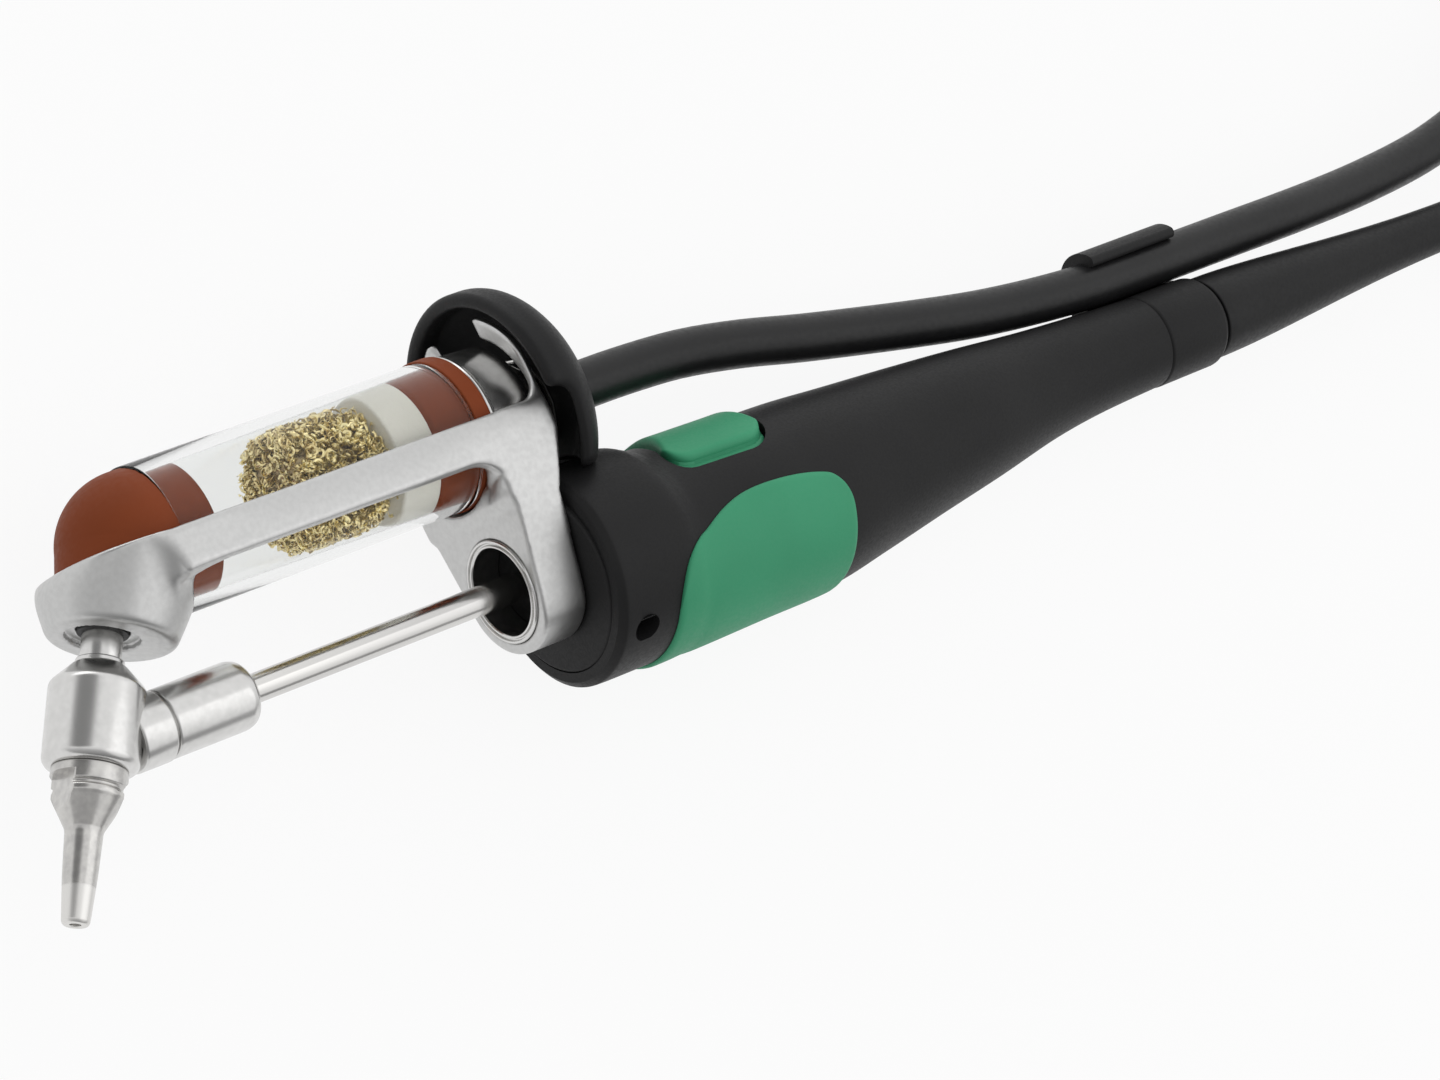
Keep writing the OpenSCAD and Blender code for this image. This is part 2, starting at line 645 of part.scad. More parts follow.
module trigger_spring() {
    top = at_x(trigger_spring_x);
    color("silver") lay() translate([trigger_spring_x, 0, pocket_floor + seat_gap])
        coil(trigger_spring_r, trigger_wire, 4, top[1] + top[2] - 1 - pocket_floor - 2 * seat_gap);
}

module micro_switch() {
    place = [switch_x - switch_size[0] / 2 + 2, -switch_size[1] / 2, pocket_floor + seat_gap];
    color("black") lay() translate(place) {
        cube(switch_size - [0, 0, 1]);
        translate([3, switch_size[1] / 2 - 1, switch_size[2] - 1 - eps]) cube([2.4, 2, 0.8]);
    }
}

module rear_cuff() {
    color("dimgray") lay() difference() {
        turned([[handle_len + seat_gap, 0], [handle_len + seat_gap, cuff_r - 0.3], [handle_len + 0.4, cuff_r],
                [cuff_end - 1.2, cuff_r - 0.1], [cuff_end, cuff_r - 1.1], [cuff_end, 0]]);
        rod_x(handle_len - 1, cuff_end + 1, 4.6);
    }
}

// Hook that rises on the right side and closes over the hose, open to the left
module clip_section() {
    inner = hose_r + clip_gap;
    outer = inner + clip_wall;
    lip = [cos(clip_lip), sin(clip_lip)];
    translate([0, hose_z]) {
        difference() {
            union() {
                circle(r = outer);
                translate([0, -6]) square([outer, 6]);
            }
            circle(r = inner);
            polygon([[0, 0], 3 * outer * lip, [-3 * outer, 0], [-3 * outer, -3 * outer], [0, -3 * outer]]);
        }
        translate((inner + outer) / 2 * lip) circle(r = clip_wall / 2);
    }
}

module hose_clip() {
    color("dimgray") lay() difference() {
        translate([clip_x, 0, 0]) rotate([90, 0, 90]) linear_extrude(clip_end - clip_x) clip_section();
        rod_x(clip_x - 1, clip_end + 1, cuff_r + seat_gap);
        handle_loft(seat_gap);
    }
}

module strain_relief() {
    thin = cable_r + 0.5;
    color("dimgray") lay() turned(concat([[handle_len - 8 + seat_gap, 0],
        [handle_len - 8 + seat_gap, 4.6 - seat_gap], [cuff_end + seat_gap, 4.6 - seat_gap],
        [cuff_end + seat_gap, boot_r]],
        [for (i = [0 : 10]) [cuff_end + 2 + (boot_len - 2) * i / 10,
                             thin + (boot_r - thin) * (1 + cos(180 * pow(i / 10, 0.8))) / 2]],
        [[boot_end, 0]]));
}

module power_cable() { color("dimgray") cord(cable_route, cable_r); }
module cable_tail() { color("dimgray") cord(cable_tail_route, cable_r); }
module suction_hose() { color("dimgray") cord(hose_route, hose_r); }
module hose_tail() { color("dimgray") cord(hose_tail_route, hose_r); }

// Folded hank: straight runs with round ends, two turns wide and two layers high
module hank(fold, d, base) {
    outer = fold + 1.5 * d;
    inner = fold - 0.5 * d;
    translate(on_bench([hank_x, hank_up, base])) linear_extrude(2 * d) difference() {
        union() {
            square([hank_run, 2 * outer], center = true);
            for (x = [-1, 1]) translate([x * hank_run / 2, 0]) circle(r = outer);
        }
        square([hank_run, 2 * inner], center = true);
        for (x = [-1, 1]) translate([x * hank_run / 2, 0]) circle(r = inner);
    }
}

module cable_hank() { color("dimgray") hank(cable_fold, cable_d, tie_t + tie_gap); }
module hose_hank() { color("dimgray") hank(hose_fold, hose_d, hose_base); }

// Strap round both hanks
module hank_tie() {
    half = hose_fold + 1.5 * hose_d + tie_gap;
    high = hose_base + 2 * hose_d + tie_gap;
    color("black") translate(on_bench([hank_x, hank_up, 0])) difference() {
        translate([-tie_w / 2, -half - tie_t, 0]) cube([tie_w, 2 * half + 2 * tie_t, high + tie_t]);
        translate([-tie_w, -half, tie_t]) cube([2 * tie_w, 2 * half, high - tie_t]);
    }
}

// Solid turned about the cord end's own axis, lying on the bench
module at_end(place) {
    translate(on_bench(place)) children();
}

cable_end = cable_tail_route[len(cable_tail_route) - 1];
hose_end = hose_tail_route[len(hose_tail_route) - 1];

module plug_body() {
    color("dimgray") at_end(cable_end) difference() {
        turned([[0, 0], [0, cable_r + 0.8], [10, cable_r + 1.8], [11, plug_r - 1.5], [12, plug_r - 1],
                [24, plug_r - 1], [24, ring_neck_r], [30.2, ring_neck_r], [30.2, nose_pin_r],
                [38, nose_pin_r], [38, 0]]);
        rod_x(29, 39, 4.8);
    }
}

module plug_ring() {
    color("silver") at_end(cable_end) difference() {
        turned([[24 + seat_gap, 0], [24 + seat_gap, plug_r - 0.5], [24.5, plug_r], [29.5, plug_r],
                [30, plug_r - 0.5], [30, 0]]);
        rod_x(20, 40, ring_neck_r + run_gap);
    }
}

module plug_pins() {
    color("gold") at_end(cable_end) for (i = [0 : 5])
        rotate([60 * i, 0, 0]) translate([0, 0, 3]) rod_x(29 + seat_gap, 36, 0.6);
}

module hose_fitting() {
    color("silver") at_end(hose_end) difference() {
        turned([[0, 0], [0, hose_r + 0.6], [1, fitting_r], [12, fitting_r], [13, fitting_r - 1],
                [13, spigot_r], [22, spigot_r], [23, spigot_r - 0.4], [23, 0]]);
        rod_x(-1, 24, 1.6);
    }
}

desoldering_nozzle();
heater_head();
heater_socket();
suction_stub();
heater_stem();
contact_block();
tool_frame();
stub_grommet();
boss_bush();
front_seal();
glass_tube();
rear_seal();
brass_wool();
felt_filter();
suction_bell();
bell_spring();
suction_hood();
hose_nipple();
handle_body();
front_cap();
side_screws();
finger_grip();
trigger_button();
trigger_spring();
micro_switch();
rear_cuff();
hose_clip();
strain_relief();
power_cable();
cable_hank();
cable_tail();
suction_hose();
hose_hank();
hose_tail();
hank_tie();
plug_body();
plug_ring();
plug_pins();
hose_fitting();
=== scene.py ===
import math
import random

import bmesh
import bpy
import numpy as np
from mathutils import Matrix, Vector


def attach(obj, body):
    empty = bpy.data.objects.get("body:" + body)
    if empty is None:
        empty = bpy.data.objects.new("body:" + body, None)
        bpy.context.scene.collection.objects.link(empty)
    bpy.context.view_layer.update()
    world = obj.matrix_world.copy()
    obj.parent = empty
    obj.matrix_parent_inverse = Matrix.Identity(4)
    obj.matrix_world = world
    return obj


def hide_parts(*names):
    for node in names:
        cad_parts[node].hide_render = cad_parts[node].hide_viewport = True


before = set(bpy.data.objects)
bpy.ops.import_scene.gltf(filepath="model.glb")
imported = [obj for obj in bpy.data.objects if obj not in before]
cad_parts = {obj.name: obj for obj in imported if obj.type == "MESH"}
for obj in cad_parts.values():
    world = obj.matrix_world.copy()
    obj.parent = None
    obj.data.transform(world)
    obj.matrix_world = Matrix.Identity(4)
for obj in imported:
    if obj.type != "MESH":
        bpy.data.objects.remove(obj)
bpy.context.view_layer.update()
scene = bpy.context.scene
scene.view_settings.view_transform = "Standard"
random.seed(7)

# Tool millimetres, as in the part's source: X to the rear, Y to the user's right, Z up
MID_X = 46.83002
MID_UP = 9.412098
BENCH = 16.8
TUBE_Z = 21.5
REACH = 71.5
TILT = math.radians(58.5)


def place(p):
    """Tool millimetres to metres on the bench."""
    return Vector(((p[0] - MID_X) / 1000, (p[2] - MID_UP) / 1000, (BENCH - p[1]) / 1000))


def on_bench(p):
    """Distance, height above the heater axis and height above the bench, to metres."""
    return Vector(((p[0] - MID_X) / 1000, (p[1] - MID_UP) / 1000, p[2] / 1000))


# Camera at the photograph's viewing angle
RIGHT = Vector((0.74473, -0.40226, 0.53251))
UP = Vector((0.29377, 0.91406, 0.27964))
BACK = Vector((-0.59923, -0.05182, 0.79890))
lens = bpy.data.cameras.new("camera")
lens.lens = 130.629
lens.sensor_width = 36
lens.clip_start = 0.01
lens.clip_end = 20
camera = bpy.data.objects.new("camera", lens)
scene.collection.objects.link(camera)
stand = place((-384.726, -550.167, -39.726))
turn = Matrix([[RIGHT[i], UP[i], BACK[i]] for i in range(3)]).to_4x4()
camera.matrix_world = Matrix.Translation(stand) @ turn
scene.camera = camera


# Material helpers
def new_material(name):
    m = bpy.data.materials.new(name)
    m.use_nodes = True
    return m, m.node_tree, m.node_tree.nodes["Principled BSDF"]


def add(tree, kind, **values):
    n = tree.nodes.new(kind)
    for k, v in values.items():
        if k in n.inputs:
            n.inputs[k].default_value = v
        else:
            setattr(n, k, v)
    return n


def mapped(tree, scale=(1, 1, 1)):
    c = add(tree, "ShaderNodeTexCoord")
    m = add(tree, "ShaderNodeMapping", Scale=scale)
    tree.links.new(c.outputs["Object"], m.inputs["Vector"])
    return m.outputs["Vector"]


def noise(tree, vector, scale, detail=3.0):
    n = add(tree, "ShaderNodeTexNoise", Scale=scale, Detail=detail)
    tree.links.new(vector, n.inputs["Vector"])
    return n.outputs["Fac"]


def spread(tree, value, low, high, start=0.35, end=0.65):
    r = add(tree, "ShaderNodeMapRange")
    tree.links.new(value, r.inputs["Value"])
    r.inputs["From Min"].default_value = start
    r.inputs["From Max"].default_value = end
    r.inputs["To Min"].default_value = low
    r.inputs["To Max"].default_value = high
    return r.outputs["Result"]


def two_colours(tree, value, a, b):
    r = add(tree, "ShaderNodeMix", data_type="RGBA")
    r.inputs["A"].default_value = (*a, 1)
    r.inputs["B"].default_value = (*b, 1)
    tree.links.new(value, r.inputs["Factor"])
    return r.outputs["Result"]


def bump(tree, bsdf, value, strength, distance=0.0002):
    b = add(tree, "ShaderNodeBump", Strength=strength, Distance=distance)
    tree.links.new(value, b.inputs["Height"])
    tree.links.new(b.outputs["Normal"], bsdf.inputs["Normal"])


def metal(name, light, dark, rough, grain, stretch=(1, 1, 1), dent=0.03):
    m, t, b = new_material(name)
    n = noise(t, mapped(t, stretch), grain, 4)
    t.links.new(two_colours(t, spread(t, n, 0, 1), dark, light), b.inputs["Base Color"])
    t.links.new(spread(t, n, rough * 1.08, rough * 0.92), b.inputs["Roughness"])
    b.inputs["Metallic"].default_value = 1
    bump(t, b, n, dent)
    return m


def moulding(name, light, dark, rough, grain, dent=0.1, gloss=0.35, sheen=0.0):
    m, t, b = new_material(name)
    v = mapped(t)
    fine = noise(t, v, grain)
    broad = noise(t, v, 60, 2)
    t.links.new(two_colours(t, spread(t, broad, 0, 1), dark, light), b.inputs["Base Color"])
    t.links.new(spread(t, fine, rough - 0.06, rough + 0.06), b.inputs["Roughness"])
    b.inputs["Specular IOR Level"].default_value = gloss
    b.inputs["Sheen Weight"].default_value = sheen
    bump(t, b, fine, dent)
    return m


# Materials
casting = metal("die_cast", (0.57, 0.57, 0.565), (0.54, 0.54, 0.535), 0.38, 1400, dent=0.012)
nickel = metal("satin_nickel", (0.68, 0.675, 0.665), (0.64, 0.635, 0.625), 0.24, 900, dent=0.008)
polished = metal("polished_nickel", (0.80, 0.79, 0.77), (0.74, 0.73, 0.71), 0.1, 300)
wire = metal("drawn_steel", (0.70, 0.69, 0.67), (0.60, 0.59, 0.58), 0.18, 400, (0.05, 1, 1))
black = moulding("black_plastic", (0.0185, 0.0185, 0.019), (0.0150, 0.0150, 0.0155), 0.48, 2600, 0.1, 0.15)
# Near-black paint for a painted shade inside the boss bore
painted_bore_shade = moulding("painted_shade_black", (0.006, 0.006, 0.0062), (0.004, 0.004, 0.0042), 0.6, 1800, 0.06, 0.1)
rubber = moulding("black_rubber", (0.0125, 0.0125, 0.013), (0.0095, 0.0095, 0.010), 0.46, 1800, 0.08, 0.22)
hose_mat = moulding("hose_rubber", (0.0105, 0.0105, 0.011), (0.0075, 0.0075, 0.008), 0.4, 1400, 0.06)
green = moulding("green_soft", (0.050, 0.325, 0.168), (0.043, 0.292, 0.150), 0.55, 2400, 0.08, 0.25)
silicone = moulding("red_silicone", (0.245, 0.056, 0.020), (0.205, 0.046, 0.015), 0.55, 1500, 0.05, 0.1)
felt = moulding("white_felt", (0.92, 0.90, 0.82), (0.84, 0.82, 0.74), 0.9, 3200, 0.5, 0.2, 0.3)
webbing = moulding("black_webbing", (0.016, 0.016, 0.018), (0.009, 0.009, 0.010), 0.85, 3000, 0.6, 0.2, 0.4)
oxide = metal("black_screw", (0.03, 0.03, 0.031), (0.02, 0.02, 0.021), 0.45, 900)
gold = metal("gold_contacts", (0.86, 0.62, 0.28), (0.78, 0.54, 0.22), 0.2, 600)


TIN_EDGE = (0.0173, 0.0170)


def nozzle_plating():
    """Plated nozzle, tinned at its tip."""
    m, t, b = new_material("nozzle_plating")
    grain = noise(t, mapped(t), 800, 4)
    crossing = place((-REACH, 0, 0))
    axis = Vector((math.cos(TILT), math.sin(TILT), 0))
    along = add(t, "ShaderNodeVectorMath", operation="DOT_PRODUCT")
    t.links.new(add(t, "ShaderNodeTexCoord").outputs["Object"], along.inputs[0])
    along.inputs[1].default_value = axis
    zero = crossing.dot(axis)
    tinned = spread(t, along.outputs["Value"], 1, 0, zero - TIN_EDGE[0], zero - TIN_EDGE[1])
    plate = two_colours(t, spread(t, grain, 0, 1), (0.50, 0.49, 0.48), (0.60, 0.59, 0.57))
    mix = add(t, "ShaderNodeMix", data_type="RGBA")
    mix.inputs["B"].default_value = (0.72, 0.71, 0.69, 1)
    t.links.new(plate, mix.inputs["A"])
    t.links.new(tinned, mix.inputs["Factor"])
    t.links.new(mix.outputs["Result"], b.inputs["Base Color"])
    t.links.new(spread(t, tinned, 0.24, 0.34, 0, 1), b.inputs["Roughness"])
    b.inputs["Metallic"].default_value = 1
    bump(t, b, grain, 0.04)
    return m


def clear_glass():
    m, t, b = new_material("clear_glass")
    smear = noise(t, mapped(t), 120)
    t.links.new(spread(t, smear, 0.0, 0.025), b.inputs["Roughness"])
    t.links.new(two_colours(t, smear, (0.90, 0.91, 0.905), (0.93, 0.935, 0.93)), b.inputs["Base Color"])
    b.inputs["Transmission Weight"].default_value = 1
    b.inputs["IOR"].default_value = 1.25
    return m


tip_mat = nozzle_plating()
glass = clear_glass()
brass = metal("brass_turnings", (1.0, 0.88, 0.48), (0.74, 0.60, 0.30), 0.32, 500)
# Brass darkened by painted shade, for the inside of the wad of turnings
painted_shade_brass_core = metal("painted_shade_brass_core", (0.66, 0.54, 0.33), (0.32, 0.25, 0.15), 0.55, 1400, dent=0.8)


# Piece helpers
def settle(ob, material, body, nodes, sharp=32):
    me = ob.data
    me.materials.clear()
    me.materials.append(material)
    me.polygons.foreach_set("use_smooth", [True] * len(me.polygons))
    if sharp:
        me.set_sharp_from_angle(angle=math.radians(sharp))
    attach(ob, body)
    if nodes:
        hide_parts(*nodes)
    return ob


def raw(name, verts, faces):
    """Mesh object with its faces turned outwards, not yet on a body."""
    me = bpy.data.meshes.new(name)
    me.from_pydata([tuple(v) for v in verts], [], faces)
    b = bmesh.new()
    b.from_mesh(me)
    bmesh.ops.remove_doubles(b, verts=b.verts, dist=1e-7)
    bmesh.ops.recalc_face_normals(b, faces=b.faces)
    b.to_mesh(me)
    b.free()
    ob = bpy.data.objects.new(name, me)
    scene.collection.objects.link(ob)
    return ob


def rounded(profile, radius, steps=4):
    """The same profile with every corner rounded."""
    out = [profile[0]]
    for before, here, after in zip(profile, profile[1:], profile[2:]):
        p = Vector(here)
        u = Vector(before) - p
        w = Vector(after) - p
        if u.length < 1e-9 or w.length < 1e-9 or abs(u.angle(w) - math.pi) < 0.06:
            out.append(tuple(p))
            continue
        d = min(radius, 0.45 * u.length, 0.45 * w.length)
        start = p + u.normalized() * d
        end = p + w.normalized() * d
        for k in range(steps + 1):
            t = k / steps
            out.append(tuple(start * (1 - t) ** 2 + p * 2 * t * (1 - t) + end * t * t))
    out.append(profile[-1])
    return out


def lathe(profile, origin, along, sides=96, shape=None):
    """Verts and faces of a profile of (distance, radius) turned about a line in tool millimetres."""
    d = Vector(along).normalized()
    e = Vector((0, 1, 0))
    g = d.cross(e)
    verts = []
    rings = []
    for s, r in profile:
        ring = []
        count = 1 if r < 1e-6 else sides
        for k in range(count):
            a = 2 * math.pi * k / sides
            q = 0 if count == 1 else shape(s, r, a) if shape else r
            ring.append(len(verts))
            verts.append(place(Vector(origin) + d * s + (e * math.cos(a) + g * math.sin(a)) * q))
        rings.append(ring)
    faces = []
    for p, q in zip(rings, rings[1:]):
        for k in range(sides):
            j = (k + 1) % sides
            corners = [p[k % len(p)], p[j % len(p)], q[j % len(q)], q[k % len(q)]]
            face = list(dict.fromkeys(corners))
            if len(face) > 2:
                faces.append(face)
    return verts, faces


TUBE = ((0, 0, TUBE_Z), (1, 0, 0))
STEM = ((0, 0, 0), (1, 0, 0))
COLLAR = ((0, 0, -1.2), (1, 0, 0))
NOZZLE = ((-REACH, 0, 0), (math.cos(TILT), 0, math.sin(TILT)))


def turned(name, profile, line, material, body, nodes, radius=0.2, sides=96, shape=None):
    ob = raw(name, *lathe(rounded(profile, radius), *line, sides=sides, shape=shape))
    return settle(ob, material, body, nodes)


# Blended forms: distance fields, negative inside, meshed on a grid
def smooth_min(a, b, k):
    h = np.clip(0.5 + 0.5 * (b - a) / k, 0, 1)
    return b + (a - b) * h - k * h * (1 - h)


def smooth_max(a, b, k):
    return -smooth_min(-a, -b, k)


def corner(a, b, r):
    """Both fields, with a round edge where they meet."""
    u = np.maximum(a + r, 0)
    v = np.maximum(b + r, 0)
    return np.minimum(np.maximum(a + r, b + r), 0) + np.hypot(u, v) - r


def block(x, y, z, low, high, r):
    gaps = [np.abs(p - (a + b) / 2) - (b - a) / 2 + r for p, a, b in zip((x, y, z), low, high)]
    outside = np.sqrt(sum(np.maximum(q, 0) ** 2 for q in gaps))
    return outside + np.minimum(np.maximum(gaps[0], np.maximum(gaps[1], gaps[2])), 0) - r


def teardrop(y, z, ra, by, bz, rb):
    """Two circles, the first at the origin, and their common tangents."""
    h = math.hypot(by, bz)
    side = np.abs(y * bz - z * by) / h
    along = (y * by + z * bz) / h
    b = (ra - rb) / h
    a = math.sqrt(1 - b * b)
    k = a * along - b * side
    flank = a * side + b * along - ra
    return np.where(k < 0, np.hypot(side, along) - ra,
                    np.where(k > a * h, np.hypot(side, along - h) - rb, flank))


def outline_field(u, v, points):
    """Distance to a closed outline in the plane."""
    best = np.full(u.shape, 1e9)
    inside = np.zeros(u.shape, bool)
    for (ax, ay), (bx, by) in zip(points, points[1:] + points[:1]):
        ex, ey = bx - ax, by - ay
        size = ex * ex + ey * ey
        if size < 1e-12:
            continue
        t = np.clip(((u - ax) * ex + (v - ay) * ey) / size, 0, 1)
        best = np.minimum(best, (u - ax - ex * t) ** 2 + (v - ay - ey * t) ** 2)
        if ey:
            crosses = ((v >= ay) != (v >= by)) & (u < ax + ex * (v - ay) / ey)
            inside ^= crosses
    return np.where(inside, -1, 1) * np.sqrt(best)


def gradient(field, p, h=0.01):
    out = np.zeros_like(p)
    for i in range(3):
        step = np.zeros(3)
        step[i] = h
        out[:, i] = (field(*(p + step).T) - field(*(p - step).T)) / (2 * h)
    return out


def field_mesh(field, low, high, step):
    """Verts and faces of the field's zero level, one vertex for each cell that it crosses."""
    axes = [np.arange(a, b + step, step) for a, b in zip(low, high)]
    values = field(*np.meshgrid(*axes, indexing="ij"))
    inside = values < 0
    n = np.array(values.shape) - 1
    corners = [(i, j, k) for i in (0, 1) for j in (0, 1) for k in (0, 1)]

    def shifted(a, c):
        return a[c[0]:n[0] + c[0], c[1]:n[1] + c[1], c[2]:n[2] + c[2]]

    count = sum(shifted(inside, c).astype(int) for c in corners)
    mixed = (count > 0) & (count < 8)
    index = np.full(mixed.shape, -1)
    index[mixed] = np.arange(mixed.sum())
    cells = np.argwhere(mixed)
    at = {c: shifted(values, c)[mixed] for c in corners}
    total = np.zeros(cells.shape)
    weight = np.zeros(len(cells))
    for a in corners:
        for b in corners:
            if sum(b) - sum(a) == 1 and all(q >= p for p, q in zip(a, b)):
                crossed = (at[a] < 0) != (at[b] < 0)
                t = at[a] / np.where(crossed, at[a] - at[b], 1)
                total += np.where(crossed[:, None], np.array(a) + np.outer(t, np.subtract(b, a)), 0)
                weight += crossed
    points = np.array(low) + (cells + total / weight[:, None]) * step
    for _ in range(2):
        g = gradient(field, points)
        size = np.maximum((g * g).sum(1), 0.2)
        move = g * (field(*points.T) / size)[:, None]
        points -= np.clip(move, -0.5 * step, 0.5 * step)
    faces = []
    for axis in range(3):
        u, v = [np.eye(3, dtype=int)[i] for i in range(3) if i != axis]
        ahead = np.take(inside, range(1, inside.shape[axis]), axis)
        behind = np.take(inside, range(inside.shape[axis] - 1), axis)
        spots = np.argwhere(ahead != behind)
        around = [index[tuple((spots - s).T)] for s in (u + v, v, 0 * u, u)]
        faces += np.array(around).T.tolist()
    return [place(p) for p in points], faces


# Nozzle and heater
FLAT = 3.4
FLAT_TOP = -3.5


def wrench_flats(s, r, a):
    """Two flats on the nozzle's neck, to the front and to the rear."""
    return min(r, FLAT / max(1e-6, abs(math.sin(a)))) if s < FLAT_TOP else r


# Cone in short steps, so that the flats run out on it
CONE_STEPS = 14
CONE_FOOT = (-9.9, 2.45)
CONE_GROWS = (3.5, 1.9)
cone = [tuple(a + b * k / CONE_STEPS for a, b in zip(CONE_FOOT, CONE_GROWS)) for k in range(CONE_STEPS + 1)]
turned("nozzle", [(-20.4, 0), (-20.4, 0.7), (-21.8, 0.7), (-21.8, 1.5), (-21.4, 1.75), (-15.8, 2.15),
                  (-10.4, 2.35), *cone, (-6, 4.6), (-5.4, 4.6), (-5.1, 4.35), (-4.8, 4.35), (-4.6, 4.75),
                  (FLAT_TOP - 0.02, 4.75), (FLAT_TOP + 0.02, 4.75), (-2.42, 4.75), (-2.42, 3.4),
                  (5, 3.4), (5, 0)],
       NOZZLE, tip_mat, "handpiece", ["desoldering_nozzle"], 0.16, 240, wrench_flats)
turned("heater_shell", [(-2.4, 3.45), (-2.4, 4.9), (-2.15, 5.55), (-1.5, 6), (8.1, 6), (10.8, 3.4),
                        (10.9, 3.05), (11.6, 3.05), (11.6, 2.57)],
       NOZZLE, nickel, "handpiece", ["heater_head"], 0.5)
turned("socket_shell", [(-66.5, 3.5), (-66.5, 4.62), (-61.75, 4.62), (-61.7, 3.9), (-61.4, 3.9),
                        (-61.35, 4.5), (-50.1, 4.5), (-49.1, 4.2), (-48.4, 3.3), (-48.1, 2.4),
                        (-48.1, 1.92)],
       STEM, nickel, "handpiece", ["heater_socket"], 0.3)
turned("stub", [(9.6, 1.75), (9.6, 2.55), (20.4, 2.55), (20.4, 1.75), (9.6, 1.75)],
       NOZZLE, nickel, "handpiece", ["suction_stub"], 0.1)
turned("stem", [(-56, 0), (-56, 1.9), (15.5, 1.9), (15.5, 0)],
       STEM, wire, "handpiece", ["heater_stem"], 0.05)
turned("grommet", [(15.02, 2.57), (15.02, 3.22), (16.42, 3.22), (16.42, 2.57), (15.02, 2.57)],
       NOZZLE, rubber, "handpiece", ["stub_grommet"], 0.1)
turned("bush", [(-0.02, 5.85), (-7.3, 5.85), (-7.5, 5.98), (-7.5, 6.2), (-7.1, 6.3), (-7.1, 6.5),
                (-7.5, 6.6), (-7.5, 6.85), (-7.3, 6.98), (-0.02, 6.98), (-0.02, 5.85)],
       STEM, nickel, "handpiece", ["boss_bush"], 0.06)

# Die-cast frame: cup, arm, boss plate, cradle and yoke blended into one skin
RIM = np.array([-56.1, 0, 20.8])
RIM_R = 12.2
RIM_RISE = 0.075
RIM_EDGE = 0.4
FLOOR_ALONG = 14.41
FLOOR_R = 8.0
FLOOR_OFF = 1.2
FLOOR_EDGE = 0.9
NOZZLE_WAY = np.array(NOZZLE[1])
NOZZLE_SIDE = np.array([math.sin(TILT), 0, -math.cos(TILT)])
STUB_FOOT = np.array(NOZZLE[0]) + FLOOR_ALONG * NOZZLE_WAY
FLOOR = STUB_FOOT + FLOOR_OFF * NOZZLE_SIDE
NOSE = (-54.7, 0, TUBE_Z)
NOSE_R = 9.8
NOSE_DOWN = 5.5
NOSE_TAPER = 0.1
NOSE_GAP = 0.02

# Arm along the left side, with a crowned top
ARM_OUT = -12.6
ARM_IN = -10.5
ARM_LOW = 15.2
CROWN = 0.5
CROWN_LOW = 17
CROWN_HIGH = 21
CROWN_X = (-48, -40)

# Plate behind the boss, its two horns and its slanted flank
PLATE_T = 7.3
BOSS_R = 8.3
BOSS_HOLE_R = 7
HORN_R = 0.75
HORN_LEFT = (-11.85, 12.13)
HORN_RIGHT = (9.65, 12.13)
WEB_HALF_W = 6
WEB_Z = (5, 12.5)
SADDLE_RIGHT = 10.4
SADDLE_Z = (9.88, 12.88)
CHEEK_Y = (-20, -6)
CHEEK_Z = (3, 19.3)
FLANK_Y = -0.9516
FLANK_Z = -0.3075
FLANK_DROP = 10
FLANK_X = (-8, -30)

# Yoke and cradle round the bell
BORE_R = 10.5
YOKE_R = 13.55
YOKE_FRONT = 1.2
YOKE_DISH = 0.3
YOKE_END = 2.8
YOKE_OPEN = math.radians(22)
CRADLE_R = 12.7
CRADLE_X = -0.1
CRADLE_HALF = 2.9
CRADLE_DROP = 2.5
SLANT = 0.36
SLANT_TOP = 16.4
SLANT_DEPTH = 7.8

# Holes for the stub and the handle
STUB_HOLE_R = 3.25
STUB_HOLE_END = 12
STUB_SEAT_R = 4.7
STUB_SEAT_DEPTH = 0.9
HANDLE_Z = COLLAR[0][2]
HANDLE_SEAT_R = 14.76

# Blends between the forms, and rounds on their edges
ARM_BLEND = 4
REAR_BLEND = 5
YOKE_BLEND = 3
HORN_BLEND = 1
SADDLE_BLEND = 1.5
CRADLE_BLEND = 0.5
CAST_EDGE = 0.8
PLATE_EDGE = 0.7
BLOCK_EDGE = 0.6
PRONG_EDGE = 1.6
CRADLE_EDGE = 1
CUT_EDGE = 0.3
SEAT_EDGE = 0.25

# Factors that bring the slanted sides back to true distances
CUP_EVEN = 0.93
DISH_EVEN = 0.96
SLANT_EVEN = 0.94


def cup_field(x, y, z):
    """Discs from the level rim to the floor square to the nozzle axis."""
    fall = FLOOR - RIM
    level = np.array([0, 0, 1.0])
    lean = NOZZLE_WAY - level
    q = (x - RIM[0], y - RIM[1], z - RIM[2])
    a = -fall @ lean
    b = sum(p * m for p, m in zip(q, lean)) - fall @ level
    c = q[2]
    s = 2 * c / (-b - np.sqrt(np.maximum(b * b - 4 * a * c, 0.01)))
    radius = np.sqrt(sum((p - s * d) ** 2 for p, d in zip(q, fall)))
    side = (radius - RIM_R - (FLOOR_R - RIM_R) * s) * CUP_EVEN
    below = -sum((p - f) * w for p, f, w in zip((x, y, z), FLOOR, NOZZLE_WAY))
    return smooth_max(side, below, FLOOR_EDGE)


